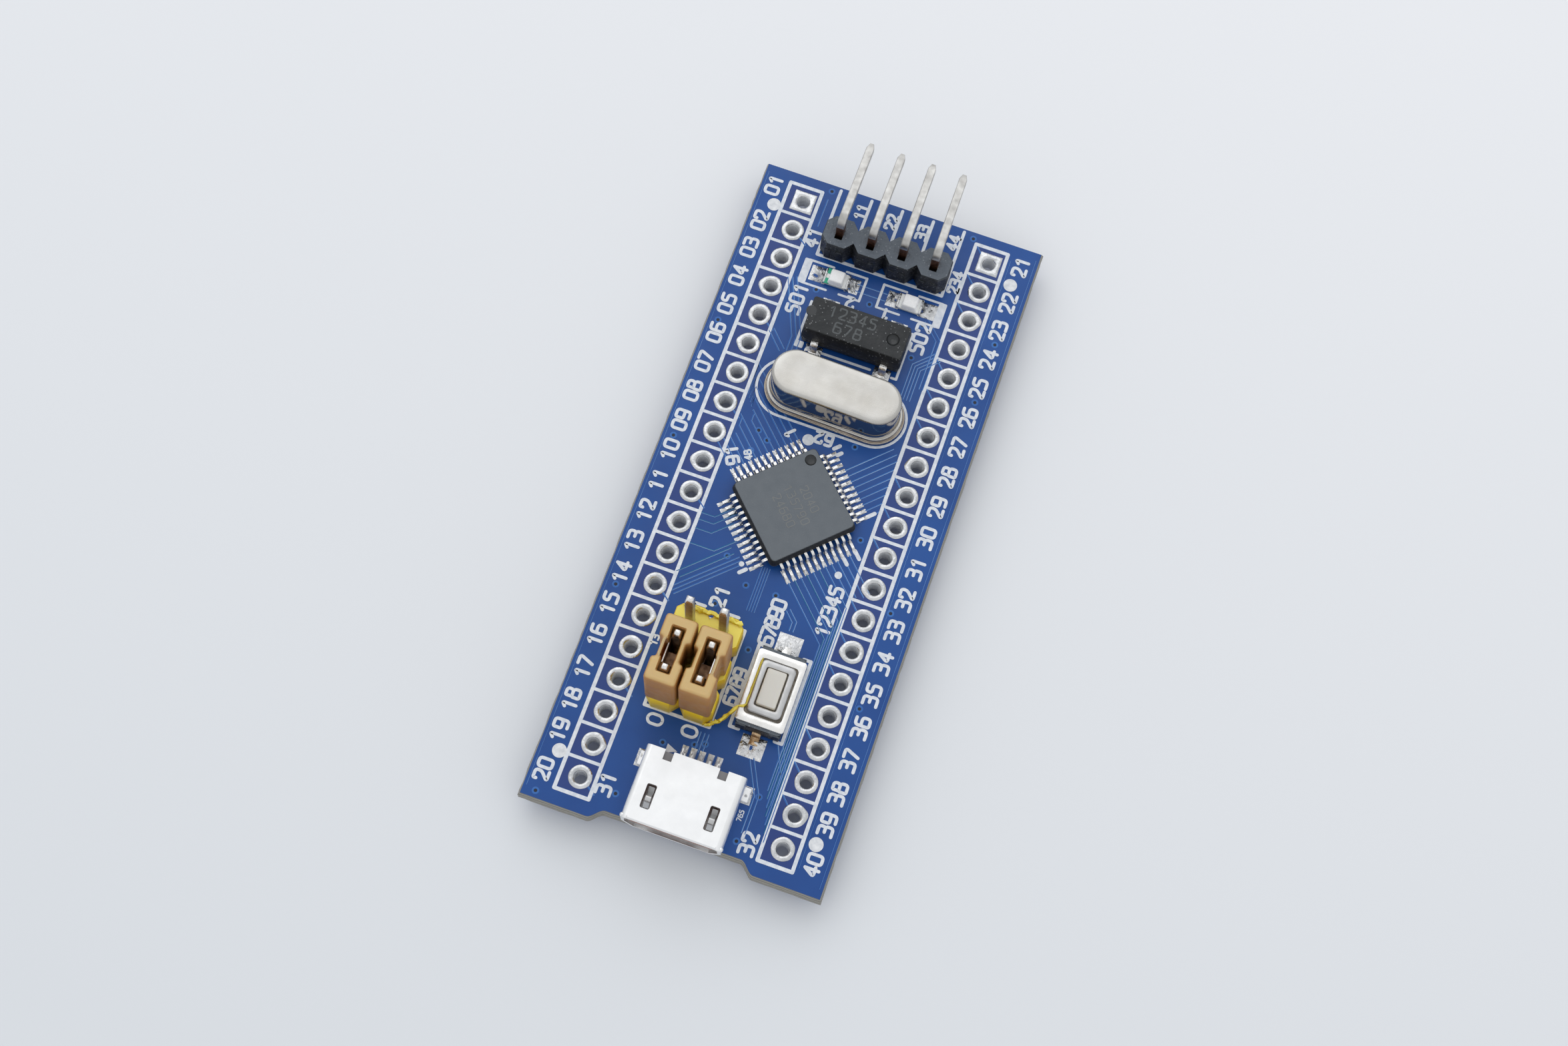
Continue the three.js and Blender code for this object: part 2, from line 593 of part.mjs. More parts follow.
LAMP.xs.forEach((x, i) => {
  const { y, w, d, base, lens } = LAMP;
  const plate = loft([[w, d, 0.08, TOP], [w, d, 0.08, TOP + base]], x, y, 1);
  const cap = [[1.3, d - 0.05, 0.05, TOP + base], [1.15, d - 0.15, 0.05, TOP + lens]];
  add(`lamp_base_${i + 1}`, plate, WHITE);
  add(`lamp_lens_${i + 1}`, loft(cap, x, y, 1), QUARTZ);
});

// ---------------------------------------------------------------- parts on the underside

const under = new THREE.Group();
under.rotation.y = Math.PI;
board.add(under);

// A three-leg regulator. The underside group is turned over, so x is mirrored inside it.
const REGULATOR = { x: -3.3, y: -19.6, w: 2.9, d: 1.4, h: 1.1 };

function regulator() {
  const { x, y, w, d, h } = REGULATOR;
  const body = loft([[w - 0.1, d - 0.1, 0.08, 0.08], [w, d, 0.1, 0.55], [w - 0.1, d - 0.2, 0.08, h]], x, y, 1);
  add('regulator_body', body, BLACK, under);
  const outline = [[0.72, 0.45], [0.9, 0.45], [0.98, 0], [1.25, 0], [1.25, 0.12]];
  outline.push([1.07, 0.12], [0.99, 0.57], [0.72, 0.57]);
  [[-0.95, 0], [0.95, 0], [0, Math.PI]].forEach(([leadX, turn], i) => {
    const lead = add(`regulator_lead_${i + 1}`, fromSide(polygon(outline), 0.4, 0), TIN, under);
    lead.position.set(x + leadX, y, 0);
    lead.rotation.z = turn;
  });
}

// Chip resistors and capacitors: [x, y, turned along y].
const RESISTORS = [[2.6, 15.4, true], [4.6, 15.4, true], [-2.2, -12.4, false], [-2.2, -14.2, false]];
const CAPACITORS = [[1.4, -20.2, true], [-3.4, -7.4, false], [4.9, 5.4, true]];

function chip(name, [x, y, upright], h, material) {
  const size = upright ? [0.8, 1.6] : [1.6, 0.8];
  add(name, loft([[...size, 0.06, 0], [...size, 0.06, h]], x, y, 1), material, under);
}

regulator();
RESISTORS.forEach((place, i) => chip(`chip_resistor_${i + 1}`, place, 0.45, CERAMIC));
CAPACITORS.forEach((place, i) => chip(`chip_capacitor_${i + 1}`, place, 0.8, CAPACITOR));

export default board;
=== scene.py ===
# %% [markdown]
# # A small microcontroller board
#
# The object is a blue circuit board about as long as a thumb, with a square chip turned
# 45 degrees, two crystals, a debug header with bent pins, a boot header with two pull-off
# jumper caps, a reset button, a micro USB socket and two lamps.
#
# The CAD frame says where each part is, how big it is and which body it moves with. Blender
# adds what a frame leaves out: soft edges, solder, printing, copper lines and the finishes.
# A small object like this is won or lost on its edges and its highlights, so nearly every
# piece is rebuilt with rounded edges that catch the light.

# %% Load the frame
import math
import random

import bpy
from mathutils import Matrix, Vector, noise
from mathutils.geometry import tessellate_polygon


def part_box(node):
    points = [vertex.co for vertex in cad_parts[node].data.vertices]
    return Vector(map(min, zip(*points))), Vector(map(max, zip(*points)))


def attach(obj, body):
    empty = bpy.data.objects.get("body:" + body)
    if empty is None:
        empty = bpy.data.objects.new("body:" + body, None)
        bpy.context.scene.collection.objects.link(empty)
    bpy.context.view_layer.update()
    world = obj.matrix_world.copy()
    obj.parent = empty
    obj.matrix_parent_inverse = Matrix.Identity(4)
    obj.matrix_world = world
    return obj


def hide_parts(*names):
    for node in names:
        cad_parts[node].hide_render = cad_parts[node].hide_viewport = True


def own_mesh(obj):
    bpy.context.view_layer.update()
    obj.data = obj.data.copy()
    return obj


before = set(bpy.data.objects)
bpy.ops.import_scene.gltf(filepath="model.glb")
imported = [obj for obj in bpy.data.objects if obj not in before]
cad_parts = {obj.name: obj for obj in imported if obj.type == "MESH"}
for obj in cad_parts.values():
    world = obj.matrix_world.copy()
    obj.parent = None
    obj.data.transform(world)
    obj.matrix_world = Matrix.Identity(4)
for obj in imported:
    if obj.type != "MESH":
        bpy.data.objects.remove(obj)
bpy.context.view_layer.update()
MM = 0.001

# %% [markdown]
# ## The camera first
#
# Everything is judged through the camera, so it is set before anything is made. It looks down
# steeply from the socket's end, a hand's breadth and a half away, and it is rolled so that
# the board lies slanting in the picture.

# %% Camera
TOP = 1.6  # the board's upper face, in millimetres above its underside
LENS = 48.42
CAMERA_AT = (10.046, -49.386, 148.283 + TOP)
CAMERA_TURN = (18.221, -2.379, 19.334)

camera = bpy.data.objects.new("camera", bpy.data.cameras.new("camera"))
bpy.context.scene.collection.objects.link(camera)
bpy.context.scene.camera = camera
camera.location = Vector(CAMERA_AT) * MM
camera.rotation_euler = [math.radians(angle) for angle in CAMERA_TURN]
camera.data.lens = LENS
camera.data.clip_start = 0.005
print("camera is", round(camera.location.length * 1000), "mm from the board")

# %% [markdown]
# ## Gathering faces
#
# A piece is built from many small shapes: plates with holes, stacked outlines, swept strips.
# Each helper below adds one such shape, in millimetres, to a stock of points and faces, and
# the stock becomes one mesh at the end. Working in millimetres keeps the numbers readable,
# and the one change to metres is made in one place.

# %% Stock of points and faces
class Stock:
    """Points and faces gathered for one piece, in millimetres."""

    def __init__(self):
        self.points = []
        self.faces = []
        self.finishes = []
        self.layers = 0

    def next_layer(self):
        """A hair's height, different for each stroke, so that crossing strokes never coincide."""
        self.layers += 1
        return 0.0009 * (self.layers % 13)

    def add(self, points, faces, finish=0, place=None):
        first = len(self.points)
        for point in points:
            self.points.append(place @ Vector(point) if place else Vector(point))
        for face in faces:
            self.faces.append([first + corner for corner in face])
            self.finishes.append(finish)


def turned(x=0.0, y=0.0, z=0.0, angle=0.0):
    """A place on the board: moved to x, y, z and turned about the vertical, in degrees."""
    return Matrix.Translation((x, y, z)) @ Matrix.Rotation(math.radians(angle), 4, "Z")


def finished(name, stock, finishes, body="board", stands_for=(), soft=0.0, smooth=35):
    """Makes the stock one mesh piece that rides on a body and stands for some CAD nodes."""
    mesh = bpy.data.meshes.new(name)
    mesh.from_pydata([point * MM for point in stock.points], [], stock.faces)
    mesh.polygons.foreach_set("material_index", stock.finishes)
    mesh.polygons.foreach_set("use_smooth", [True] * len(mesh.polygons))
    mesh.set_sharp_from_angle(angle=math.radians(smooth))
    for finish in finishes:
        mesh.materials.append(finish)
    piece = bpy.data.objects.new(name, mesh)
    bpy.context.scene.collection.objects.link(piece)
    if soft:
        edge = piece.modifiers.new("soft edges", "BEVEL")
        edge.width = soft * MM
        edge.segments = 2
        edge.limit_method = "ANGLE"
        edge.angle_limit = math.radians(30)
        edge.harden_normals = True
    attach(piece, body)
    if stands_for:
        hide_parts(*stands_for)
    return piece


print("stock, turned, finished")

# %% [markdown]
# ## Outlines
#
# Most parts on a board are drawn from above: a rounded rectangle, a disc, a header's row of
# cells with cut corners. An outline is a list of points going round anticlockwise.

# %% Outlines
def rounded(w, d, r, steps=5):
    """A rectangle w by d about the origin, with corners of radius r."""
    r = min(r, w / 2 - 1e-4, d / 2 - 1e-4)
    loop = []
    for corner, (sx, sy) in enumerate(((1, 1), (-1, 1), (-1, -1), (1, -1))):
        for step in range(steps + 1):
            angle = (corner + step / steps) * math.pi / 2
            x = sx * (w / 2 - r) + r * math.cos(angle)
            loop.append((x, sy * (d / 2 - r) + r * math.sin(angle)))
    return loop


def disc(r, x=0.0, y=0.0, steps=24):
    turns = [2 * math.pi * step / steps for step in range(steps)]
    return [(x + r * math.cos(turn), y + r * math.sin(turn)) for turn in turns]


def moved(loop, x, y, angle=0.0):
    turn = Matrix.Rotation(math.radians(angle), 2)
    return [tuple(turn @ Vector(point) + Vector((x, y))) for point in loop]


def limits(node):
    """A node's lowest and highest corner, in millimetres."""
    return [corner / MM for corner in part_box(node)]


def middle(node):
    low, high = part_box(node)
    return (low + high) / (2 * MM)


def size(node):
    low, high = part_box(node)
    return (high - low) / MM


print("the chip sits at", [round(value, 2) for value in middle("mcu_package")])

# %% [markdown]
# ## Solids from outlines
#
# A **plate** is a flat outline given a thickness, with holes where they are wanted. A
# **stack** joins outlines one above the other, which gives drafted sides and rounded rims,
# as on a moulded package or a drawn can. A **collar** does the same but closes on itself, so
# it makes a frame with an opening through it.

# %% Plate, stack and collar
def filled(loops):
    """Triangles facing up that fill the first loop and leave the others open."""
    flat = [Vector(point) for loop in loops for point in loop]
    triangles = []
    for a, b, c in tessellate_polygon([[Vector((x, y, 0)) for x, y in loop] for loop in loops]):
        facing_up = (flat[b] - flat[a]).cross(flat[c] - flat[a]) >= 0
        triangles.append((a, b, c) if facing_up else (a, c, b))
    return triangles


def plate(stock, loops, low, high, finish=0, place=None, side_finish=None):
    """An extruded outline; the loops after the first are holes."""
    sides = finish if side_finish is None else side_finish
    flat = [point for loop in loops for point in loop]
    count = len(flat)
    points = [(x, y, high) for x, y in flat] + [(x, y, low) for x, y in flat]
    top = filled(loops)
    bottom = [(count + c, count + b, count + a) for a, b, c in top]
    walls = []
    first = 0
    for number, loop in enumerate(loops):
        area = sum(p[0] * q[1] - q[0] * p[1] for p, q in zip(loop, loop[1:] + loop[:1]))
        outward = (area > 0) == (number == 0)
        for step in range(len(loop)):
            a, b = first + step, first + (step + 1) % len(loop)
            wall = (a, count + a, count + b, b)
            walls.append(wall if outward else wall[::-1])
        first += len(loop)
    start = len(stock.points)
    stock.add(points, top + bottom, finish, place)
    stock.faces += [[start + corner for corner in wall] for wall in walls]
    stock.finishes += [sides] * len(walls)


def rings(loops):
    """Points of loops given as (outline, height), and the faces between them."""
    points = [(x, y, z) for loop, z in loops for x, y in loop]
    around = len(loops[0][0])
    faces = []
    for level in range(len(loops) - 1):
        for step in range(around):
            a, b = level * around + step, level * around + (step + 1) % around
            faces.append((a, b, b + around, a + around))
    return points, faces, around


def stack(stock, loops, finish=0, place=None):
    """A closed solid through outlines from the lowest to the highest."""
    points, faces, around = rings(loops)
    faces.append(tuple(reversed(range(around))))
    faces.append(tuple(range(len(points) - around, len(points))))
    stock.add(points, faces, finish, place)


def collar(stock, loops, finish=0, place=None):
    """A closed frame: outlines up the outside, over the top and down the inside."""
    points, faces, around = rings(loops + loops[:1])
    points = points[:-around]
    faces = [tuple(corner % len(points) for corner in face) for face in faces]
    stock.add(points, faces, finish, place)


def block(stock, w, d, low, high, x=0.0, y=0.0, r=0.05, finish=0, place=None, edge=0.04):
    """A box with round upright corners and a small round on its rims."""
    spot = (place or Matrix()) @ Matrix.Translation((x, y, 0))
    full, drawn = rounded(w, d, r, 3), rounded(w - 2 * edge, d - 2 * edge, max(r - edge, 0.01), 3)
    stack(stock, [(drawn, low), (full, low + edge), (full, high - edge), (drawn, high)], finish, spot)


print("plate, stack, collar, block")

# %% [markdown]
# ## Bent strips and pins
#
# Leads, contacts and pins are strip metal: cut to a width and bent. A strip is drawn in a
# side view as a path of straight runs, the corners are rounded, and a section with cut
# corners is carried along it. The ends can be drawn in to a point, as a pin's are.

# %% Strips
def bent(corners, radius, steps=4):
    """A path through corners in a side view, with each bend rounded."""
    path = [Vector(corners[0])]
    for before, corner, after in zip(corners, corners[1:], corners[2:]):
        before, corner, after = Vector(before), Vector(corner), Vector(after)
        reach = min(radius, (corner - before).length * 0.45, (after - corner).length * 0.45)
        start = corner + (before - corner).normalized() * reach
        end = corner + (after - corner).normalized() * reach
        for step in range(steps + 1):
            t = step / steps
            path.append(start * (1 - t) ** 2 + corner * 2 * t * (1 - t) + end * t**2)
    path.append(Vector(corners[-1]))
    return path


def strip(stock, path, width, thick, finish=0, place=None, cut=0.2, ends=None):
    """Carries a flat section along a path of (out, up) points. The width runs across."""
    w, t = width / 2, thick / 2
    c = min(w, t) * cut
    section = [(w - c, -t), (w, c - t), (w, t - c), (w - c, t)]
    section += [(c - w, t), (-w, t - c), (-w, c - t), (c - w, -t)]
    scales = {0: 1.0, len(path) - 1: 1.0} if ends is None else {0: ends[0], len(path) - 1: ends[1]}
    points, faces = [], []
    for step, at in enumerate(path):
        before, after = path[max(step - 1, 0)], path[min(step + 1, len(path) - 1)]
        along = (after - before).normalized()
        up = Vector((-along.y, along.x))
        scale = scales.get(step, 1.0)
        for across, lift in section:
            spot = at + up * lift * scale
            points.append((spot.x, across * scale, spot.y))
    for step in range(len(path) - 1):
        for corner in range(8):
            a, b = step * 8 + corner, step * 8 + (corner + 1) % 8
            faces.append((a, b, b + 8, a + 8))
    faces.append(tuple(reversed(range(8))))
    faces.append(tuple(range(len(points) - 8, len(points))))
    stock.add(points, faces, finish, place)


print("bent, strip")

# %% [markdown]
# ## Solder
#
# Solder wets a pad right to its edge and draws up towards whatever stands in it. So a joint
# is a low cushion: full in the middle or against the part, thin at the rim, and never quite
# even. A grid of points over the pad is lifted by that rule, with a little noise.

# %% Solder cushions
def cushion(stock, w, d, low, rise, place=None, finish=0, lean=0.0, seed=0.0, steps=8, rough=0.25):
    """A solder pad w by d. Lean moves the crest along its length, from -1 to 1."""
    points, faces = [], []
    for j in range(steps + 1):
        for i in range(steps + 1):
            u, v = 2 * i / steps - 1, 2 * j / steps - 1
            fill = (1 - abs(u) ** 3) * (1 - abs(v) ** 3)
            crest = max(0.0, 1 - abs(v - lean) * 0.6)
            ripple = noise.noise(Vector((u * 1.9 + seed, v * 1.9 - seed, seed * 3.1)))
            height = low + rise * fill * crest * (1 + rough * 2 * ripple) + 0.01
            points.append((u * w / 2, v * d / 2, height))
    row = steps + 1
    for j in range(steps):
        for i in range(steps):
            a = j * row + i
            faces.append((a, a + 1, a + row + 1, a + row))
    rim = [i for i in range(steps)] + [steps + j * row for j in range(steps)]
    rim += [steps * row + steps - i for i in range(steps)] + [(steps - j) * row for j in range(steps)]
    base = len(points)
    points += [(points[corner][0], points[corner][1], low - 0.005) for corner in rim]
    for step in range(len(rim)):
        after = (step + 1) % len(rim)
        faces.append((rim[step], base + step, base + after, rim[after]))
    faces.append(tuple(base + step for step in reversed(range(len(rim)))))
    stock.add(points, faces, finish, place)


print("cushion")

# %% [markdown]
# ## Nodes without the clutter
#
# A material is a small graph. Writing every socket and link out by hand hides what the graph
# does, so one helper adds a node, sets its options and wires its inputs in one call. Colours
# are given as they are seen on a screen, from 0 to 255, and turned into the linear values
# that a renderer works in.

# %% Node helpers
def paint(red, green, blue):
    def linear(level):
        level /= 255
        return level / 12.92 if level <= 0.04045 else ((level + 0.055) / 1.055) ** 2.4

    return (linear(red), linear(green), linear(blue), 1.0)


def add_node(tree, kind, inputs=None, **options):
    """Adds a shader node. An input given as a socket is linked, and any other is set."""
    made = tree.nodes.new("ShaderNode" + kind)
    for option, value in options.items():
        setattr(made, option, value)
    for socket, value in (inputs or {}).items():
        if isinstance(value, bpy.types.NodeSocket):
            tree.links.new(value, made.inputs[socket])
        else:
            made.inputs[socket].default_value = value
    return made


def blank_group(name, inputs, outputs):
    """A shader group with number inputs and outputs. Returns its tree, inputs and end."""
    tree = bpy.data.node_groups.new(name, "ShaderNodeTree")
    for label, value in inputs.items():
        socket = tree.interface.new_socket(label, in_out="INPUT", socket_type="NodeSocketFloat")
        socket.default_value = value
    for label in outputs:
        tree.interface.new_socket(label, in_out="OUTPUT", socket_type="NodeSocketFloat")
    start, end = tree.nodes.new("NodeGroupInput"), tree.nodes.new("NodeGroupOutput")
    return tree, start.outputs, end


def in_millimetres(tree):
    """The surface's own coordinates, scaled so that 1 is a millimetre."""
    place = tree.nodes.new("ShaderNodeTexCoord").outputs["Object"]
    scaled = {0: place, 1: (1 / MM, 1 / MM, 1 / MM)}
    return add_node(tree, "VectorMath", scaled, operation="MULTIPLY").outputs[0]


def effect(tree, group, **values):
    """Places a shader group in a material with that material's own values."""
    made = tree.nodes.new("ShaderNodeGroup")
    made.node_tree = group
    for label, value in values.items():
        made.inputs[label.replace("_", " ")].default_value = value
    return made.outputs


print("paint, add_node, blank_group, in_millimetres, effect")

# %% [markdown]
# ## Mottling
#
# No surface has one roughness all over: handling, moulding and plating leave cloudy patches.
# This group gives a cloudy value that runs between two limits, so the same group makes faint
# colour drift on plastic and uneven gloss on metal.

# %% Mottle group
mottle, start, end = blank_group(
    "mottle", {"Per mm": 1.0, "Detail": 4.0, "Low": 0.0, "High": 1.0, "Shift": 0.0}, ["Value"]
)
drift = add_node(mottle, "CombineXYZ", {0: start["Shift"], 1: start["Shift"], 2: start["Shift"]})
cloud_place = add_node(mottle, "VectorMath", {0: in_millimetres(mottle), 1: drift.outputs[0]})
clouds = add_node(
    mottle, "TexNoise",
    {"Vector": cloud_place.outputs[0], "Scale": start["Per mm"], "Detail": start["Detail"]},
)
spread_out = add_node(
    mottle, "MapRange",
    {"Value": clouds.outputs[0], "From Min": 0.3, "From Max": 0.7,
     "To Min": start["Low"], "To Max": start["High"]},
)
mottle.links.new(spread_out.outputs[0], end.inputs["Value"])
print("group mottle")

# %% [markdown]
# ## Brushing
#
# Drawn and rolled metal carries fine parallel lines. They are noise squeezed hard in two
# directions and left long in the third. The group turns the lines to lie along any angle on
# the board, and gives a height for a bump.

# %% Brushed group
brushed, start, end = blank_group("brushed", {"Along": 0.4, "Across": 14.0, "Angle": 0.0}, ["Height"])
turn = add_node(
    brushed, "VectorRotate", {"Vector": in_millimetres(brushed), "Angle": start["Angle"]},
    rotation_type="Z_AXIS",
)
squeeze = add_node(brushed, "CombineXYZ", {0: start["Along"], 1: start["Across"], 2: start["Across"]})
line_place = add_node(
    brushed, "VectorMath", {0: turn.outputs[0], 1: squeeze.outputs[0]}, operation="MULTIPLY"
)
hairlines = add_node(brushed, "TexNoise", {"Vector": line_place.outputs[0], "Scale": 1.0, "Detail": 3.0})
brushed.links.new(hairlines.outputs[0], end.inputs["Height"])
print("group brushed")

# %% [markdown]
# ## Grain and specks
#
# Moulded resin is filled with silica, and its skin is a fine matt grain with lighter specks.
# A tight noise gives the grain, and small scattered cells of a Voronoi pattern give specks,
# which also serve as dust.

# %% Grain group
grain, start, end = blank_group("grain", {"Per mm": 12.0, "Speck size": 0.12}, ["Height", "Speck"])
grain_place = in_millimetres(grain)
skin = add_node(grain, "TexNoise", {"Vector": grain_place, "Scale": start["Per mm"], "Detail": 5.0})
scatter = add_node(grain, "TexVoronoi", {"Vector": grain_place, "Scale": start["Per mm"]})
near = add_node(
    grain, "MapRange",
    {"Value": scatter.outputs["Distance"], "From Min": start["Speck size"], "From Max": 0.0},
)
grain.links.new(skin.outputs[0], end.inputs["Height"])
grain.links.new(near.outputs[0], end.inputs["Speck"])
print("group grain")

# %% [markdown]
# ## What faces up
#
# The tops of parts are painted paler than their sides, as painted light from above; on the black
# parts the mould's matt texture adds a little to it. A mask from the surface's direction says how far
# a face looks upwards, and a little cloudiness keeps its edge from being a clean line.

# %% Upward group
upward, start, end = blank_group("upward", {"Start": 0.5, "Full": 0.95, "Cloud": 0.15}, ["Mask"])
direction = add_node(upward, "SeparateXYZ", {0: upward.nodes.new("ShaderNodeNewGeometry").outputs["Normal"]})
patches = add_node(upward, "TexNoise", {"Vector": in_millimetres(upward), "Scale": 1.4, "Detail": 4.0})
centred = add_node(upward, "Math", {0: patches.outputs[0], 1: 0.5}, operation="SUBTRACT")
clouded = add_node(
    upward, "Math", {0: centred.outputs[0], 1: start["Cloud"], 2: direction.outputs["Z"]},
    operation="MULTIPLY_ADD",
)
facing = add_node(
    upward, "MapRange",
    {"Value": clouded.outputs[0], "From Min": start["Start"], "From Max": start["Full"]},
)
upward.links.new(facing.outputs[0], end.inputs["Mask"])
print("group upward")

# %% [markdown]
# ## Two families of finish
#
# Nearly everything on the board is either metal or a moulded plastic. A metal's colour is
# its reflection, so its look is in its roughness and in fine bumps: clouds for tin and
# solder, lines for rolled sheet. A metal's walls can also be painted darker, a painted shade.
# A plastic has a body colour, a grain, and a top painted paler as light from above. Two
# builders take those choices and give a material, so each piece can have its own values.

# %% Metal and plastic builders
def surface(name, colour, **plain):
    """A material with plain values on its shader. Returns it, its tree and its shader."""
    made = bpy.data.materials.new(name)
    made.use_nodes = True
    shader = made.node_tree.nodes["Principled BSDF"]
    shader.inputs["Base Color"].default_value = colour
    for label, value in plain.items():
        shader.inputs[label.replace("_", " ")].default_value = value
    return made, made.node_tree, shader


def tinted(tree, shader, mask, first, second):
    """Mixes two colours by a mask, into the shader's colour."""
    mix = add_node(tree, "Mix", {"Factor": mask, "A": first, "B": second}, data_type="RGBA")
    tree.links.new(mix.outputs["Result"], shader.inputs["Base Color"])
    return mix.outputs["Result"]


def bumped(tree, shader, heights):
    """Chains bumps given as (height socket, strength, depth in millimetres)."""
    before = None
    for height, strength, depth in heights:
        wiring = {"Height": height, "Strength": strength, "Distance": depth * MM}
        bump = add_node(tree, "Bump", wiring)
        if before:
            tree.links.new(before, bump.inputs["Normal"])
        before = bump.outputs[0]
    tree.links.new(before, shader.inputs["Normal"])


def metal(name, colour, dull, rough=(0.25, 0.4), patch=2.0, ripple=0.02, lines=0.0, angle=0.0, walls=None):
    """Metal from its clean colour to its dull one, with clouds and, if wanted, brushing. Its
    walls can be given their own roughness, since a drawn wall is more polished than a top,
    and then they are also painted darker, a painted shade."""
    made, tree, shader = surface(name, colour, Metallic=1.0)
    clouds = effect(tree, mottle, Per_mm=patch)
    shade = tinted(tree, shader, clouds["Value"], colour, dull)
    gloss = effect(tree, mottle, Per_mm=patch * 1.7, Low=rough[0], High=rough[1], Shift=31.0)
    finish = gloss["Value"]
    if walls:
        up = effect(tree, upward, Start=0.3, Full=0.7, Cloud=0.0)["Mask"]
        # The walls are painted darker and browner than the top as well: painted shade and reflection of the
        # board.
        tinted(tree, shader, up, paint(168, 158, 146), shade)
        blend = add_node(tree, "MapRange", {"Value": up, "To Min": walls, "To Max": finish})
        finish = blend.outputs[0]
    tree.links.new(finish, shader.inputs["Roughness"])
    heights = [(effect(tree, mottle, Per_mm=patch * 2.2, Shift=7.0)["Value"], 0.6, ripple)]
    if lines:
        heights.append((effect(tree, brushed, Angle=math.radians(angle))["Height"], 0.5, lines))
    bumped(tree, shader, heights)
    return made


def plastic(name, colour, top, rough=0.5, fleck=0.0, skin=0.01, fine=9.0, see_through=0.0):
    """Moulded plastic: its own colour on its sides, a top painted paler as light from above, and grain."""
    made, tree, shader = surface(name, colour, Roughness=rough, IOR=1.5)
    up = effect(tree, upward)["Mask"]
    # The top colour on up-facing faces is painted light from above.
    body = tinted(tree, shader, up, colour, top)
    texture = effect(tree, grain, Per_mm=fine, Speck_size=0.2)
    if fleck:
        amount = add_node(tree, "Math", {0: texture["Speck"], 1: fleck}, operation="MULTIPLY").outputs[0]
        speckled = add_node(tree, "Mix", {"Factor": amount, "A": body}, data_type="RGBA")
        speckled.inputs["B"].default_value = paint(190, 192, 194)
        tree.links.new(speckled.outputs["Result"], shader.inputs["Base Color"])
    if see_through:
        shader.inputs["Subsurface Weight"].default_value = see_through
        shader.inputs["Subsurface Radius"].default_value = (0.9, 0.6, 0.3)
        shader.inputs["Subsurface Scale"].default_value = MM
    gloss = effect(tree, mottle, Per_mm=1.3, Low=rough - 0.1, High=rough + 0.12)
    tree.links.new(gloss["Value"], shader.inputs["Roughness"])
    bumped(tree, shader, [(texture["Height"], 0.5, skin)])
    return made


print("surface, tinted, bumped, metal, plastic")

# %% [markdown]
# ## The finishes
#
# Solder is bright and lumpy, plated leads are smoother, the crystal's can is brushed nickel,
# the socket is satin sheet. Black parts differ too: the chip's resin has a grey, matt top, partly
# painted light from above, while the header is glossier and darker.

# %% Metals
solder = metal("solder", paint(224, 224, 224), paint(184, 185, 187), (0.14, 0.34), 2.6, 0.05)
hole_wall = metal("plated_hole", paint(240, 241, 243), paint(214, 216, 219), (0.5, 0.65), 3.0, 0.01)
foot_solder = metal("foot_solder", paint(240, 240, 241), paint(204, 205, 206), (0.4, 0.6), 2.6, 0.03)
# The hole walls are near-white and partly diffuse so that they throw light down into the holes: painted light
# that lifts the holes' shade.
for matt_tin in (hole_wall, foot_solder):
    matt_tin.node_tree.nodes["Principled BSDF"].inputs["Metallic"].default_value = 0.4
pad_tin = metal("pad_tin", paint(218, 218, 219), paint(186, 188, 190), (0.16, 0.32), 2.0, 0.02)
lead_tin = metal("lead_tin", paint(242, 240, 237), paint(208, 206, 203), (0.12, 0.28), 3.0, 0.02)
pin_tin = metal("pin_tin", paint(204, 203, 200), paint(168, 166, 163), (0.28, 0.45), 1.6, 0.005, 0.008, 90)
# walls=0.07 polishes the can's walls and paints them darker, a painted shade.
nickel = metal(
    "brushed_nickel", paint(196, 194, 190), paint(182, 179, 173), (0.22, 0.32), 0.5, 0.004, 0.003, walls=0.07
)
flange_nickel = metal("flange_nickel", paint(184, 175, 164), paint(150, 138, 124), (0.06, 0.14), 0.8, 0.006)
sheet_steel = metal("sheet_steel", paint(246, 244, 241), paint(228, 226, 222), (0.2, 0.34), 0.9, 0.01, 0.004)
# A darker copy of the sheet steel for the button's raised ring and the socket's latch tongues: painted shade.
steel_painted_shade = metal("steel_painted_shade", paint(206, 206, 206), paint(186, 186, 186), (0.26, 0.4), 0.9, 0.01, 0.004)
shell_steel = metal(
    "shell_steel", paint(248, 248, 248), paint(240, 240, 240), (0.34, 0.46), 0.8, 0.006, 0.004, 90
)
contact_gold = metal("contact_gold", paint(236, 205, 130), paint(205, 168, 92), (0.18, 0.32), 1.6, 0.006)
print("metals made:", len(bpy.data.materials))

# %% Plastics
# In each plastic the second colour is its top, painted paler as light from above; on the black resins a matt
# skin adds a little of it.
mould_resin = plastic("package_resin", paint(22, 23, 25), paint(98, 104, 110), 0.62, 0.22, 0.01, 10.0)
glossy_resin = plastic("crystal_resin", paint(16, 18, 20), paint(26, 29, 32), 0.5, 0.8, 0.12, 4.0)
header_black = plastic("header_black", paint(10, 11, 13), paint(90, 98, 107), 0.42, 0.75, 0.25, 4.0)
header_yellow = plastic(
    "header_yellow", paint(226, 190, 30), paint(246, 226, 98), 0.42, 0.0, 0.012, 4.0, 0.15
)
cap_tan = plastic("jumper_tan", paint(168, 120, 64), paint(208, 178, 122), 0.42, 0.0, 0.01, 5.0, 0.35)
key_cream = plastic("plunger_cream", paint(206, 196, 178), paint(216, 213, 205), 0.5, 0.0, 0.006, 8.0, 0.1)
lamp_white = plastic("lamp_board", paint(226, 226, 220), paint(246, 246, 242), 0.45, 0.0, 0.006, 8.0, 0.1)
lamp_green = plastic("lamp_mark", paint(20, 132, 100), paint(42, 168, 132), 0.45, 0.0, 0.004, 8.0)
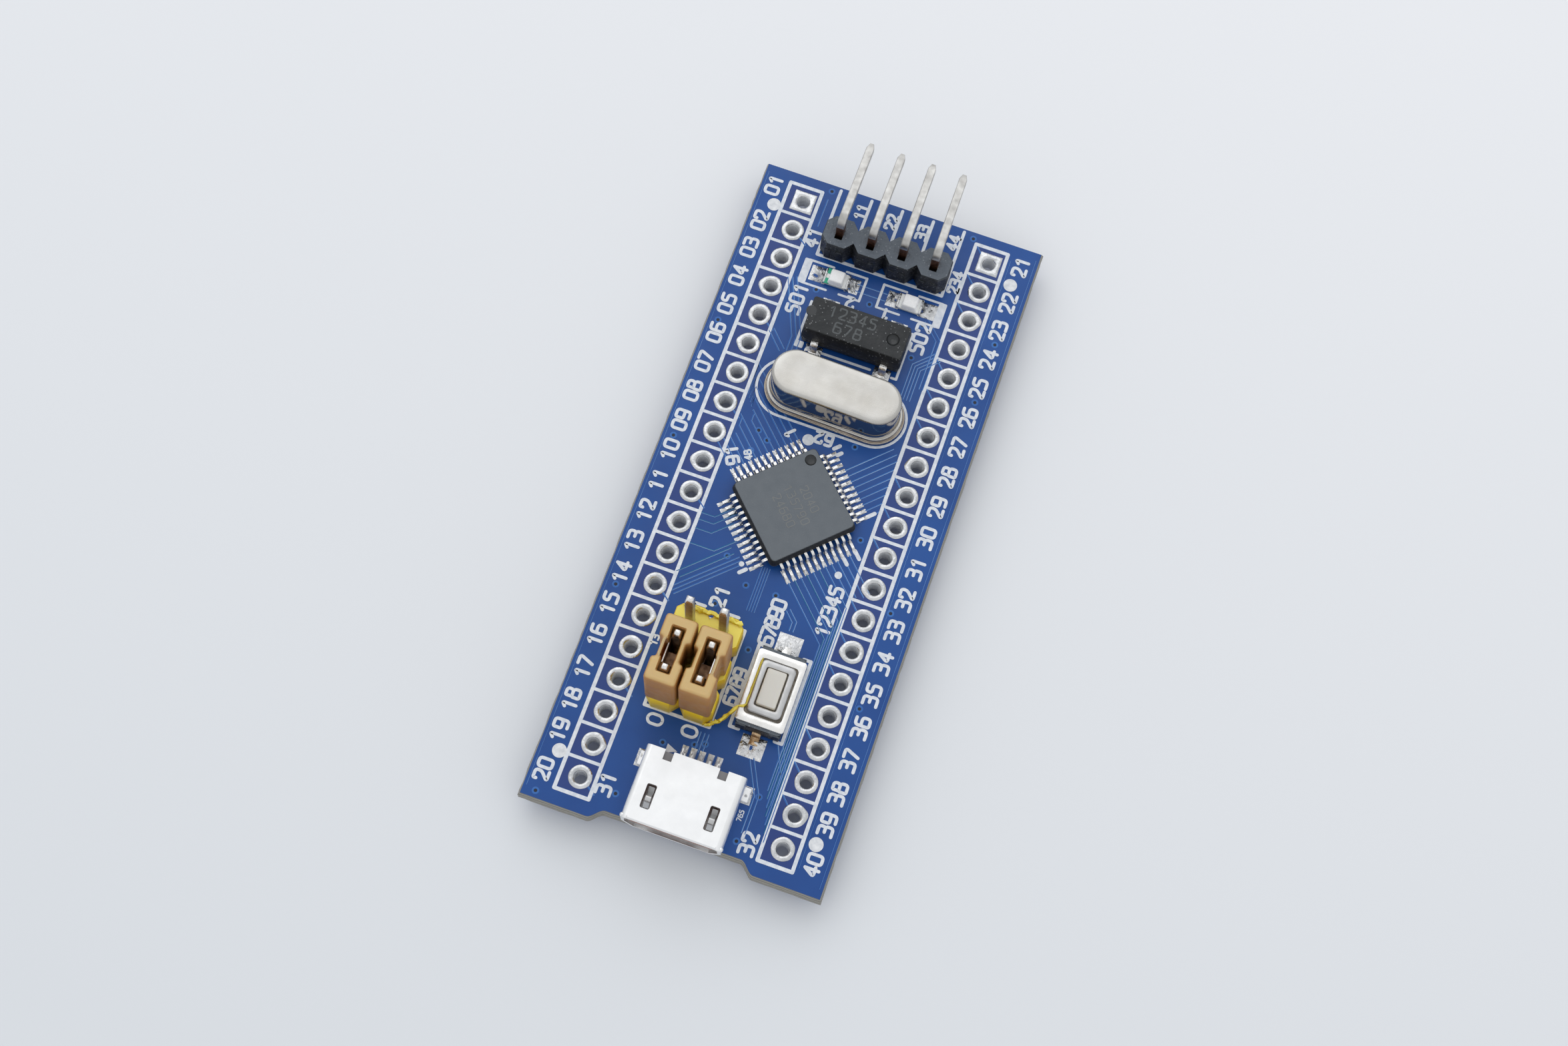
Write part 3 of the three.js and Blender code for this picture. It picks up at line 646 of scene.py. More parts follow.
capacitor_tan = plastic("capacitor_body", paint(150, 112, 70), paint(176, 138, 92), 0.5, 0.1, 0.006, 8.0)
resistor_black = plastic("resistor_body", paint(18, 18, 20), paint(40, 40, 44), 0.4, 0.0, 0.004, 8.0)
print("plastics made:", len(bpy.data.materials))

# %% [markdown]
# ## Board finishes
#
# The board is glass cloth in epoxy, covered by a blue lacquer called solder mask. Where
# copper lies under the mask it shows paler, and its edges stand up a little. On the snapped
# sides the cloth shows as tan-grey layers. The white printing is ink, slightly uneven.

# %% Solder mask, copper under mask, bare edge and ink
def lacquer(name, deep, clear):
    made, tree, shader = surface(name, deep, IOR=1.45)
    tinted(tree, shader, effect(tree, mottle, Per_mm=0.16, Detail=5.0)["Value"], deep, clear)
    gloss = effect(tree, mottle, Per_mm=0.6, Low=0.28, High=0.44)
    tree.links.new(gloss["Value"], shader.inputs["Roughness"])
    orange_peel = effect(tree, mottle, Per_mm=2.0, Detail=2.0)["Value"]
    weave = effect(tree, grain, Per_mm=7.0)["Height"]
    bumped(tree, shader, [(orange_peel, 0.5, 0.004), (weave, 0.25, 0.004)])
    return made


mask_blue = lacquer("solder_mask", paint(6, 64, 134), paint(14, 76, 150))
mask_copper = lacquer("mask_on_copper", paint(34, 90, 164), paint(54, 112, 184))
# A pale copy of the mask for the sides of traces that face the light: a painted glint.
mask_painted_glint = lacquer("mask_slope_painted_glint", paint(88, 134, 190), paint(176, 202, 228))
mask_teal = lacquer("mask_on_fine_copper", paint(16, 88, 140), paint(26, 104, 154))

bare_edge, tree, shader = surface("bare_glass_epoxy", paint(152, 148, 137), Roughness=0.7)
layer_place = in_millimetres(tree)
layers = add_node(
    tree, "TexWave", {"Vector": layer_place, "Scale": 1.3, "Distortion": 2.5, "Detail": 3.0},
    bands_direction="Z",
)
tinted(tree, shader, layers.outputs["Fac"], paint(160, 157, 149), paint(114, 112, 107))
bumped(tree, shader, [(effect(tree, grain, Per_mm=9.0)["Height"], 0.8, 0.05)])

ink, tree, shader = surface("white_ink", paint(222, 226, 232), Roughness=0.55)
tinted(tree, shader, effect(tree, mottle, Per_mm=3.0)["Value"], paint(206, 212, 222), paint(232, 235, 240))
bumped(tree, shader, [(effect(tree, grain, Per_mm=8.0)["Height"], 0.5, 0.01)])
print("board finishes made")

# %% [markdown]
# ## Clear parts
#
# The lamps' lenses are milky resin that lets little light through, and the crystal's blank
# is a sliver of clear quartz. Both have a faint skin, so that they catch the light.

# %% Lens resin and quartz
def clear(name, colour, rough, index, cast):
    made, tree, shader = surface(name, colour, Roughness=rough, IOR=index, Transmission_Weight=cast)
    gloss = effect(tree, mottle, Per_mm=3.0, Low=rough, High=rough + 0.15)
    tree.links.new(gloss["Value"], shader.inputs["Roughness"])
    bumped(tree, shader, [(effect(tree, mottle, Per_mm=4.0, Shift=3.0)["Value"], 0.4, 0.01)])
    return made


lens_resin = clear("lens_resin", paint(253, 253, 253), 0.2, 1.45, 0.08)
quartz = clear("quartz", paint(240, 248, 250), 0.05, 1.54, 0.95)
print("materials in all:", len(bpy.data.materials))

# %% [markdown]
# ## Floor and light
#
# The board stands on its pin tails on a pale sheet. The light is a wide, soft source high
# behind and to the left, under a pale sky that darkens towards the horizon. That darker rim
# is what gives metal its contrast: a can under an even white sky looks like chalk.

# %% Floor, sky and softbox
FLOOR_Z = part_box("boot_pin_1")[0].z
SOFTBOX_AT = Vector((-0.20, 0.36, 0.46))

sheet_paper, tree, shader = surface("pale_paper", paint(226, 228, 232), Roughness=0.8)
# The sheet is painted darker towards the front: a painted falloff of the light.
along = add_node(tree, "SeparateXYZ", {0: in_millimetres(tree)}).outputs["Y"]
painted_falloff = add_node(tree, "MapRange", {"Value": along, "From Min": -50.0, "From Max": 60.0}).outputs[0]
tinted(tree, shader, painted_falloff, paint(224, 227, 231), paint(239, 240, 243))
floor_mesh = bpy.data.meshes.new("floor")
FLOOR_HALF = 2.0
floor_corners = [(x * FLOOR_HALF, y * FLOOR_HALF, FLOOR_Z) for x, y in ((-1, -1), (1, -1), (1, 1), (-1, 1))]
floor_mesh.from_pydata(floor_corners, [], [(0, 1, 2, 3)])
floor_mesh.materials.append(sheet_paper)
floor = bpy.data.objects.new("floor", floor_mesh)
bpy.context.scene.collection.objects.link(floor)

lamp = bpy.data.lights.new("softbox", "AREA")
lamp.shape = "RECTANGLE"
lamp.size, lamp.size_y = 0.62, 0.54
lamp.energy = 0.73
softbox = bpy.data.objects.new("softbox", lamp)
bpy.context.scene.collection.objects.link(softbox)
softbox.location = SOFTBOX_AT
softbox.rotation_euler = (-SOFTBOX_AT).to_track_quat("-Z", "Y").to_euler()

world = bpy.data.worlds.new("studio")
bpy.context.scene.world = world
world.use_nodes = True
tree = world.node_tree
height = add_node(tree, "SeparateXYZ", {0: tree.nodes.new("ShaderNodeTexCoord").outputs["Generated"]})
sky = add_node(
    tree, "MapRange",
    {"Value": height.outputs["Z"], "From Min": 0.0, "From Max": 1.0, "To Min": 0.7, "To Max": 0.92},
)
tree.links.new(sky.outputs[0], tree.nodes["Background"].inputs["Strength"])
tree.nodes["Background"].inputs["Color"].default_value = (0.96, 0.98, 1.0, 1.0)
bpy.context.scene.view_settings.view_transform = "Standard"
print("floor at", round(FLOOR_Z / MM, 2), "mm")

# %% [markdown]
# ## The bare board
#
# A board is routed and snapped from a panel. The score on each face leaves sides that slope
# out to a rough line at mid-thickness, and the socket's end is milled back in two soft
# S-curves. The slab is one closed mesh: its outline is drawn at four heights, and every hole
# runs through with its own wall.

# %% Outline of the board
PITCH = 2.54
SCORE, SCORE_Z = 0.19, 0.5
ROW_X = 3 * PITCH
ROW_YS = [(9.5 - step) * PITCH for step in range(20)]
board_low, board_high = limits("circuit_board")
RECESS_HALF, RECESS_OUTER, RECESS_DEPTH = 5.1, 6.25, 0.8


def board_corners(grow):
    """The outline's corners, anticlockwise, SCORE inside the board's box and grown outwards."""
    side = board_high.x - SCORE + grow
    rear, front = board_high.y - SCORE + grow, board_low.y + SCORE - grow
    curve = []
    for step in range(9):
        along = step / 8
        ease = 1 - along * along * (3 - 2 * along)
        x = RECESS_HALF + (RECESS_OUTER - RECESS_HALF) * along
        curve.append((x, front + RECESS_DEPTH * ease))
    corners = [(-x, y) for x, y in reversed(curve)] + curve
    return corners + [(side, front), (side, rear), (-side, rear), (-side, front)]


def board_outline(grow, rough=0.0):
    """The outline in steps near 0.5 mm, with its snapped sides roughened inwards."""
    corners, plain = board_corners(grow), board_corners(0.0)
    side, rear = corners[-3]
    loop = []
    for step, corner in enumerate(corners):
        a, b = Vector(corner), Vector(corners[(step + 1) % len(corners)])
        length = (Vector(plain[step]) - Vector(plain[(step + 1) % len(plain)])).length
        count = max(1, round(length / 0.5))
        for part in range(count):
            spot = a.lerp(b, part / count)
            wobble = noise.noise(Vector((spot.x * 1.7, spot.y * 1.7, 3.0))) + 0.4
            pull = Vector((-math.copysign(min(abs(spot.x) / side, 1) ** 8, spot.x), 0))
            pull.y = -math.copysign(min(abs(spot.y) / rear, 1) ** 8, spot.y)
            loop.append(tuple(spot + pull * max(wobble, 0) * rough))
    return loop


print("points round the board:", len(board_outline(0.0)))

# %% The slab
debug_pins = [middle(f"debug_pin_{number}").x for number in range(1, 5)]
DEBUG_Y = middle("debug_housing").y
boot_spots = [middle(f"boot_pin_{number}").xy for number in range(1, 7)]
can_spots = [middle(f"fast_crystal_lead_{number}").xy for number in (1, 2)]
row_spots = [(side * ROW_X, y) for side in (-1, 1) for y in ROW_YS]
HOLE_R = 0.5

holes = [disc(HOLE_R, x, y) for x, y in row_spots]
holes += [disc(HOLE_R, x, DEBUG_Y, 16) for x in debug_pins]
holes += [disc(HOLE_R, x, y, 16) for x, y in boot_spots]
holes += [disc(0.4, x, y, 16) for x, y in can_spots]

slab = Stock()
outline = board_outline(0.0)
plate(slab, [outline] + holes, 0.0, TOP, 0, side_finish=2)
around = len(outline)
slab_walls = [step for step, face in enumerate(slab.faces) if slab.finishes[step] == 2][:around]
for step in reversed(slab_walls):
    del slab.faces[step], slab.finishes[step]
levels = [(outline, 0.0), (board_outline(SCORE, 0.05), SCORE_Z), (board_outline(SCORE, 0.12), 0.8)]
levels += [(board_outline(SCORE, 0.05), TOP - SCORE_Z), (outline, TOP)]
edge_points, edge_faces, _ = rings(levels)
slab.add(edge_points, edge_faces, 1)
slab_piece = finished("board_slab", slab, [mask_blue, bare_edge, hole_wall], stands_for=["circuit_board"])
print("holes:", len(holes), "- faces:", len(slab.faces))

# %% [markdown]
# ## Pads and plated holes
#
# Each hole is lined with plated copper, and the board is dipped in solder and blown off with
# hot air. That leaves a bright, slightly domed ring that is never quite even. A profile is
# spun round each hole, and noise moves its rim and its height. The first pad of each row is
# square, and a few pads carry a drop where the solder ran.

# %% Pad rings
PAD_R = 0.88
BORE_R = 0.47


def pad_reach(turn, square, seed):
    """How far a pad's rim reaches in a direction."""
    if square:
        return 0.875 / max(abs(math.cos(turn)), abs(math.sin(turn)))
    uneven = noise.noise(Vector((math.cos(turn) * 1.1, math.sin(turn) * 1.1, seed)))
    drop = max(0.0, math.cos(turn - seed * 2.3)) ** 14 if seed % 3 < 1.2 else 0.0
    return PAD_R * (1 + 0.035 * uneven) + 0.1 * drop


def pad_ring(stock, x, y, seed, square=False, bore=BORE_R):
    """Solder on both faces of the board and the plated wall between, as one closed ring."""
    steps = 32 if square else 28
    offset = math.pi / 4 if square else 0.0
    shape = [(1.0, -0.02), (1.0, 0.02), (0.93, 0.045), (0.7, 0.07), (0.45, 0.075), (0.16, 0.05), (0.0, -0.03)]
    points = []
    for step in range(steps):
        turn = offset + 2 * math.pi * step / steps
        reach = pad_reach(turn, square, seed) - bore
        fill = 1 + 0.18 * noise.noise(Vector((math.cos(turn) * 1.6, seed, math.sin(turn) * 1.6)))
        ring = [(bore + reach * out, TOP + (lift * fill if lift > 0 else lift)) for out, lift in shape]
        under = [(bore + reach * out, -lift * 0.8 if lift > 0 else -lift) for out, lift in reversed(shape)]
        ring += [(bore, TOP - 0.3), (bore, 0.3)] + under
        ring += [(bore + 0.02, 0.04), (bore + 0.02, TOP - 0.04)]
        points += [(x + r * math.cos(turn), y + r * math.sin(turn), z) for r, z in ring]
    row = len(points) // steps
    wall = (len(shape) - 1, len(shape) + 2)
    for step in range(steps):
        after = (step + 1) % steps
        for level in range(row):
            up = (level + 1) % row
            face = (step * row + up, step * row + level, after * row + level, after * row + up)
            finish = 1 if wall[0] <= level < wall[1] else 0
            stock.faces.append([len(stock.points) + corner for corner in face])
            stock.finishes.append(finish)
    stock.points += [Vector(point) for point in points]


pads = Stock()
for number, (x, y) in enumerate(row_spots):
    pad_ring(pads, x, y, number * 1.37, square=y == ROW_YS[0])
for number, (x, y) in enumerate([(x, DEBUG_Y) for x in debug_pins] + boot_spots):
    pad_ring(pads, x, y, number * 0.7 + 60)
for number, (x, y) in enumerate(can_spots):
    pad_ring(pads, x, y, number + 80.5, bore=0.37)
pad_piece = finished("header_pads", pads, [pad_tin, hole_wall], smooth=50)
print("pads:", len(row_spots) + 12)

# %% [markdown]
# ## Lines of ink and copper
#
# Printing and copper are both drawn with a round pen, so one helper draws both: it carries
# a width along a path and ends it with half discs. Copper under the mask stands up a few
# hundredths of a millimetre with sloping sides, and that slope is what glints; the slope on
# the side that faces the light is also painted paler, a painted glint.

# %% Ribbons
INK_LOW, INK_HIGH = TOP - 0.01, TOP + 0.022
COPPER_HIGH = TOP + 0.02


def ribbon(stock, path, width, low=INK_LOW, high=INK_HIGH, finish=0, closed=False, slope=0.0, lit=None):
    """A flat line along points, with round ends unless closed. Slopes that face the light can
    have a paler finish of their own, a painted glint."""
    path = [Vector(point) for point in path]
    count, r = len(path), width / 2
    stations = []
    for step, at in enumerate(path):
        before = path[step - 1] if closed or step else at
        after = path[(step + 1) % count] if closed or step < count - 1 else at
        along = (after - before).normalized()
        stations.append((at, along, r))
    if not closed:
        turns = [math.radians(angle) for angle in (35, 65, 88)]
        tail, head = stations[0], stations[-1]
        front = [(head[0] + head[1] * r * math.sin(turn), head[1], r * math.cos(turn)) for turn in turns]
        back = [(tail[0] - tail[1] * r * math.sin(turn), tail[1], r * math.cos(turn)) for turn in turns]
        stations = back[::-1] + stations + front
    points, faces = [], []
    high += stock.next_layer()
    for at, along, reach in stations:
        across = Vector((-along.y, along.x))
        inner = max(reach - slope, reach * 0.4)
        for offset, z in ((reach, low), (inner, high), (-inner, high), (-reach, low)):
            spot = at + across * offset
            points.append((spot.x, spot.y, z))
    total, first = len(stations), len(stock.faces)
    for step in range(total if closed else total - 1):
        a, b = step * 4, (step + 1) % total * 4
        for corner in range(3):
            faces.append((a + corner + 1, a + corner, b + corner, b + corner + 1))
        faces.append((a, a + 3, b + 3, b))
    if not closed:
        faces += [(0, 1, 2, 3), (4 * total - 1, 4 * total - 2, 4 * total - 3, 4 * total - 4)]
    stock.add(points, faces, finish)
    # Slopes on the side that faces the light take the lit finish: a painted glint.
    if lit is not None:
        for step in range(total - 1):
            along = stations[step][1]
            bright = 0 if -along.y * 0.8 - along.x * 0.6 > 0 else 2
            stock.finishes[first + step * 4 + bright] = lit


def corner_box(x0, y0, x1, y1):
    return [(x0, y0), (x1, y0), (x1, y1), (x0, y1)]


def square_frame(stock, x0, y0, x1, y1, width=0.25):
    """A printed rectangle, as four lines."""
    corners = corner_box(x0, y0, x1, y1)
    for a, b in zip(corners, corners[1:] + corners[:1]):
        ribbon(stock, [a, b], width)


def patch(stock, loop, low=INK_LOW, high=INK_HIGH, finish=0):
    plate(stock, [loop], low, high + stock.next_layer(), finish)


print("ribbon, square_frame, patch")

# %% [markdown]
# ## Numerals
#
# Printed lettering on a board is drawn with that same pen. Every label here is a plain
# number, and each numeral is a few strokes on a grid 0.62 wide and 1 high, with its corners
# rounded. Numbers in sequence name the header's holes.

# %% Pen numerals
STROKES = {
    "0": [([(0, 0), (0.62, 0), (0.62, 1), (0, 1)], True)],
    "1": [([(0.12, 0.76), (0.38, 1), (0.38, 0)], False)],
    "2": [([(0, 0.78), (0, 1), (0.6, 1), (0.6, 0.56), (0, 0), (0.64, 0)], False)],
    "3": [
        ([(0, 1), (0.58, 1), (0.58, 0.54), (0.2, 0.54)], False),
        ([(0.2, 0.54), (0.62, 0.54), (0.62, 0), (0, 0)], False),
    ],
    "4": [([(0.64, 0.28), (0, 0.28), (0.46, 1)], False), ([(0.46, 0.96), (0.46, 0)], False)],
    "5": [([(0.58, 1), (0.06, 1), (0.02, 0.6), (0.6, 0.6), (0.6, 0), (0, 0)], False)],
    "6": [([(0, 0), (0.62, 0), (0.62, 0.58), (0, 0.58)], True), ([(0, 0.3), (0, 1), (0.52, 1)], False)],
    "7": [([(0, 1), (0.62, 1), (0.2, 0)], False)],
    "8": [
        ([(0, 0), (0.62, 0), (0.62, 0.54), (0, 0.54)], True),
        ([(0.05, 0.54), (0.57, 0.54), (0.57, 1), (0.05, 1)], True),
    ],
    "9": [([(0, 0.42), (0.62, 0.42), (0.62, 1), (0, 1)], True), ([(0.62, 0.7), (0.62, 0), (0.1, 0)], False)],
}
NUMERAL_BEND = 0.22


def rounded_path(corners, radius, closed):
    if not closed:
        return bent(corners, radius)
    start = (Vector(corners[-1]) + Vector(corners[0])) / 2
    return bent([start] + corners + [start], radius)[:-1]


def numerals(stock, text, x, y, tall=1.02, angle=90, pen=0.24, gap=0.26, **heights):
    """Writes digits centred on x, y."""
    wide = tall * 0.62
    advance = wide + tall * gap
    place = turned(x, y, 0, angle)
    left = -(advance * len(text) - tall * gap) / 2
    for digit in text:
        for corners, closed in STROKES[digit]:
            sized = [(left + px * tall, (py - 0.5) * tall) for px, py in corners]
            path = rounded_path(sized, NUMERAL_BEND * tall, closed)
            spots = [(place @ Vector((spot[0], spot[1], 0))).xy for spot in path]
            ribbon(stock, spots, pen, closed=closed, **heights)
        left += advance


print("numerals ready:", "".join(STROKES))

# %% [markdown]
# ## Header frames and pin numbers
#
# Each long row of holes is printed as a ladder, one cell to a hole, with numbers along the
# board's edge. They run from the debug header's end to the socket's end, up one side and on
# along the other, as on any numbered header. The four grey discs near the corners are
# locating marks for the assembly machine.

# %% Print the two rows
print_stock = Stock()
FRAME_LEFT = (-9.1, -6.48)
FRAME_RIGHT = (6.18, 8.79)
ROW_END = 10 * PITCH + 0.05
for x0, x1 in (FRAME_LEFT, FRAME_RIGHT):
    square_frame(print_stock, x0, -ROW_END, x1, ROW_END, 0.28)
    for step in range(-9, 10):
        ribbon(print_stock, [(x0, step * PITCH), (x1, step * PITCH)], 0.24, high=INK_HIGH - 0.012)
STEP_ASIDE = {0: 0.6, 1: -0.1, 18: 0.15, 19: -0.35}  # numbers beside a disc keep clear of it
for number, y in enumerate(ROW_YS):
    label_y = y + STEP_ASIDE.get(number, 0.0)
    numerals(print_stock, f"{number + 1:02d}", -10.28, label_y)
    numerals(print_stock, f"{number + 21:02d}", 10.02, label_y)
for x, y in ((-9.7, 23.15), (9.72, 23.02), (-9.7, -22.85), (9.73, -23.03)):
    patch(print_stock, disc(0.53, x, y, 32), high=INK_HIGH + 0.01, finish=1)
print("rows printed, faces:", len(print_stock.faces))

# %% Print round the debug header and the lamps
HEADER_LINES = [middle("debug_housing").x + (step - 2) * PITCH - 0.05 for step in range(5)]
LINES_FRONT, LINES_MIDDLE, LINES_REAR = 20.3, 23.4, 26.1
for number, x in enumerate(HEADER_LINES):
    bottom = LINES_FRONT if number in (0, 4) else LINES_MIDDLE
    ribbon(print_stock, [(x, bottom), (x, LINES_REAR)], 0.25)
ribbon(print_stock, [(HEADER_LINES[0], LINES_FRONT), (HEADER_LINES[4], LINES_FRONT)], 0.25)
for number, x in enumerate(debug_pins):
    numerals(print_stock, f"{number + 1}{number + 1}", x + 0.7, 24.9, 0.8)
numerals(print_stock, "41", -5.95, 21.5)
numerals(print_stock, "234", 5.66, 21.75, 0.75)
numerals(print_stock, "501", -5.4, 16.2)
numerals(print_stock, "502", 4.55, 16.35)
numerals(print_stock, "2", -1.42, 17.3, 0.9, 180)
numerals(print_stock, "1", 1.4, 17.3, 0.9, 180)

patch(print_stock, moved(rounded(0.62, 2.15, 0.1), -5.58, 18.67))
for y in (19.68, 17.66):
    ribbon(print_stock, [(-5.5, y), (-3.55, y)], 0.18)
    ribbon(print_stock, [(-2.5, y), (-0.85, y)], 0.18)
    ribbon(print_stock, [(0.55, y), (2.4, y)], 0.18)
    ribbon(print_stock, [(3.4, y), (5.3, y)], 0.18)
ribbon(print_stock, [(-0.85, 19.68), (-0.85, 17.66)], 0.2)
ribbon(print_stock, [(0.55, 19.68), (0.55, 17.66)], 0.2)
patch(print_stock, moved(rounded(0.62, 2.15, 0.1), 5.36, 18.67))
print("debug end printed")

# %% Print round the crystals and the chip
ribbon(print_stock, [(-4.25, 12.6), (-4.25, 16.4)], 0.2)
patch(print_stock, moved(rounded(0.7, 0.55, 0.1), -4.02, 12.72))
ribbon(print_stock, [(3.88, 12.5), (3.88, 16.5)], 0.2)
ribbon(print_stock, [(3.5, 12.5), (3.88, 12.5)], 0.2)
ribbon(print_stock, [(-2.1, 12.57), (1.75, 12.57)], 0.2)
ribbon(print_stock, moved(rounded(11.75, 4.75, 2.37, 10), -0.12, 9.0), 0.2, closed=True)

numerals(print_stock, "62", 0.3, 6.05, 0.85, 180)
numerals(print_stock, "1", -2.25, 5.62, 0.85, 135)
patch(print_stock, disc(0.45, -0.78, 5.58))
numerals(print_stock, "91", -5.75, 2.45, 0.9, 118)
numerals(print_stock, "48", -4.62, 2.88, 0.5, 118, 0.14)
for x, y, length, lean in (
    (1.45, 5.75, 0.5, 45), (1.8, 5.3, 0.35, 45), (5.55, 1.52, 0.65, 45), (5.58, -1.75, 0.7, -45),
    (4.95, -2.55, 0.45, -45), (-1.95, -5.8, 0.55, 45),
):
    reach = Vector((math.cos(math.radians(lean)), math.sin(math.radians(lean)))) * length / 2
    spot = Vector((x, y))
    ribbon(print_stock, [spot - reach, spot + reach], 0.3)
patch(print_stock, disc(0.2, -2.2, -5.32))
patch(print_stock, disc(0.28, 4.78, -3.7))
numerals(print_stock, "12345", 5.05, -6.55, 1.0, gap=0.18)
print("middle printed")

# %% Print round the boot header, the button and the socket
square_frame(print_stock, -5.2, -17.65, -0.24, -10.05)
numerals(print_stock, "21", -2.85, -8.25, gap=0.25)
numerals(print_stock, "1", -4.05, -9.32, 0.9)
numerals(print_stock, "1", -1.45, -9.32, 0.9)
for x in (-4.1, -1.47):
    ribbon(print_stock, moved(rounded(1.1, 0.72, 0.36, 6), x, -18.42), 0.22, closed=True)
numerals(print_stock, "6789", 0.5, -14.2, 0.9, gap=0.18)
numerals(print_stock, "13", -6.2, -12.9, 0.5, 90, 0.14)
numerals(print_stock, "67890", 1.42, -8.75, 1.0, gap=0.1)
BUTTON_FRAME = (1.08, -17.05, 5.05, -10.6)
for x in (BUTTON_FRAME[0], BUTTON_FRAME[2]):
    ribbon(print_stock, [(x, BUTTON_FRAME[1]), (x, BUTTON_FRAME[3])], 0.25)
for y in (BUTTON_FRAME[1], BUTTON_FRAME[3]):
    ribbon(print_stock, [(BUTTON_FRAME[0], y), (1.75, y)], 0.25)
    ribbon(print_stock, [(4.5, y), (BUTTON_FRAME[2], y)], 0.25)
patch(print_stock, [(-2.62, -19.75), (-1.78, -20.1), (-2.62, -20.45)][::-1])
numerals(print_stock, "31", -5.75, -24.0)
numerals(print_stock, "32", 5.2, -24.6)
numerals(print_stock, "765", 4.0, -22.9, 0.32, 90, 0.08)

ink_grey = ink.copy()
ink_grey.name = "grey_mark"
ink_grey.node_tree.nodes["Mix"].inputs["A"].default_value = paint(206, 209, 214)
ink_grey.node_tree.nodes["Mix"].inputs["B"].default_value = paint(236, 237, 239)
printing = finished("printing", print_stock, [ink, ink_grey])
print("all printing, faces:", len(print_stock.faces))

# %% [markdown]
# ## Copper under the mask
#
# The chip's leads fan out at 45 degrees and then run in straight lanes to the headers. Each
# run is written as a few corners, and a bundle repeats it side by side. The traces are real
# raised lines, so the light finds their edges as it does on the real board, and the slope
# that faces the light is painted paler as well, a painted glint.

# %% Bundles of traces
copper = Stock()


def shifted(corners, offset):
    """A path moved sideways by an offset, with its bends kept square to the runs."""
    corners = [Vector(corner) for corner in corners]
    out = []
    for step, at in enumerate(corners):
        runs = []
        if step:
            runs.append((at - corners[step - 1]).normalized())
        if step < len(corners) - 1:
            runs.append((corners[step + 1] - at).normalized())
        across = sum((Vector((-run.y, run.x)) for run in runs), Vector((0, 0)))
        across /= len(runs)
        out.append(at + across * offset / max(across.length_squared, 0.2))
    return out


def bundle(corners, count=1, step=0.27, width=0.14, finish=0):
    for number in range(count):
        offset = (number - (count - 1) / 2) * step
        ribbon(copper, shifted(corners, offset), width, TOP - 0.01, COPPER_HIGH, finish, slope=0.045, lit=2)


LEADS_A_SIDE, LEAD_STEP, TOE_REACH = 12, 0.5, 4.75


def chip_toe(side, lead):
    """Where a chip lead's pad ends. Sides run anticlockwise from the upper right."""
    turn = math.radians(45 + 90 * side)
    out = Vector((math.cos(turn), math.sin(turn)))
    along = Vector((-out.y, out.x)) * (lead - (LEADS_A_SIDE - 1) / 2) * LEAD_STEP
    return middle("mcu_package").xy + out * TOE_REACH + along, out


lanes = 0
for lead in range(LEADS_A_SIDE):
    toe, out = chip_toe(0, lead)
    if lead < 9:
        reach = (6.02 - toe.x) / out.x
        bundle([toe, toe + out * min(reach, 4.2)])
    toe, out = chip_toe(1, lead)
    lane_x = -5.25 - 0.2 * (11 - lead) if lead > 5 else -6.3 + 0.2 * lead
    if lead > 7:
        bundle([toe, toe + out * 2.6])
    elif lane_x < toe.x:
        knee = toe + out * (toe.x - lane_x) / abs(out.x)
        bundle([toe, knee, (lane_x, 7.6 - 0.3 * lead)])
    toe, out = chip_toe(3, lead)
    lane_x = 5.2 + 0.16 * lead
    if lead < 7:
        knee = toe + out * (lane_x - toe.x) / out.x
        bundle([toe, knee, (lane_x, -20.5 - 0.6 * lead)], finish=lead % 2)
        lanes += 1
    elif lead < 11:
        bundle([toe, toe + out * (1.2 + 0.25 * lead)])
print("lanes along the right row:", lanes)

# %% Other runs
for y, reach in ((-2.55, -4.95), (-3.1, -4.85), (-3.83, -4.75), (-5.05, -4.1)):
    bundle([(-6.3, y), (reach - 0.35, y), (reach + 0.95, y + 1.25)], finish=1)
bundle([(-6.3, -7.6), (-3.2, -4.6)], 2, 0.5, finish=1)
bundle([(-6.3, -8.9), (-2.35, -5.1)], 3, 0.3)
bundle([(-0.4, -5.0), (-0.4, -8.5)], 4, 0.2, 0.1)
bundle([(-6.3, 17.8), (-4.4, 13.2), (-4.4, 11.9)], 3, 0.35)
bundle([(-6.35, 13.1), (-5.1, 11.8)], 2, 0.4)
bundle([(5.0, 11.2), (5.0, 14.0), (6.3, 15.3)], 4, 0.25)
bundle([(4.6, 17.9), (5.9, 16.6), (5.9, 12.4)], 2, 0.3)
bundle([(-1.9, 18.7), (1.0, 18.7)], 2, 0.6)
bundle([(-5.9, 25.0), (-5.9, 22.6)], 1)
bundle([(2.9, -8.9), (2.9, -8.2), (2.2, -7.5)], 2, 0.3)
bundle([(3.4, -18.8), (4.6, -21.2), (4.6, -24.0)], 2, 0.3)
bundle([(5.0, -17.2), (5.9, -19.2), (5.9, -21.5)], 2, 0.35)
bundle([(-0.4, -18.2), (-0.4, -19.6)], 3, 0.3)
for side, x in ((-1, -11.02), (1, 10.98)):
    bundle([(x, -25.9), (x, 25.7)], width=0.06)
    bundle([(x - side * 1.85, -25.0), (x - side * 1.85, 25.0)], width=0.05)
for number, y in enumerate(ROW_YS):
    if number % 4 != 3:
        bundle([(6.35, y + 1.1), (7.0, y + 0.42)], width=0.18)
    if number % 3 == 1:
        bundle([(-6.3, y - 0.9), (-6.95, y - 0.4)], width=0.18)
trace_piece = finished("copper_lines", copper, [mask_copper, mask_teal, mask_painted_glint], smooth=20)
print("copper faces:", len(copper.faces))

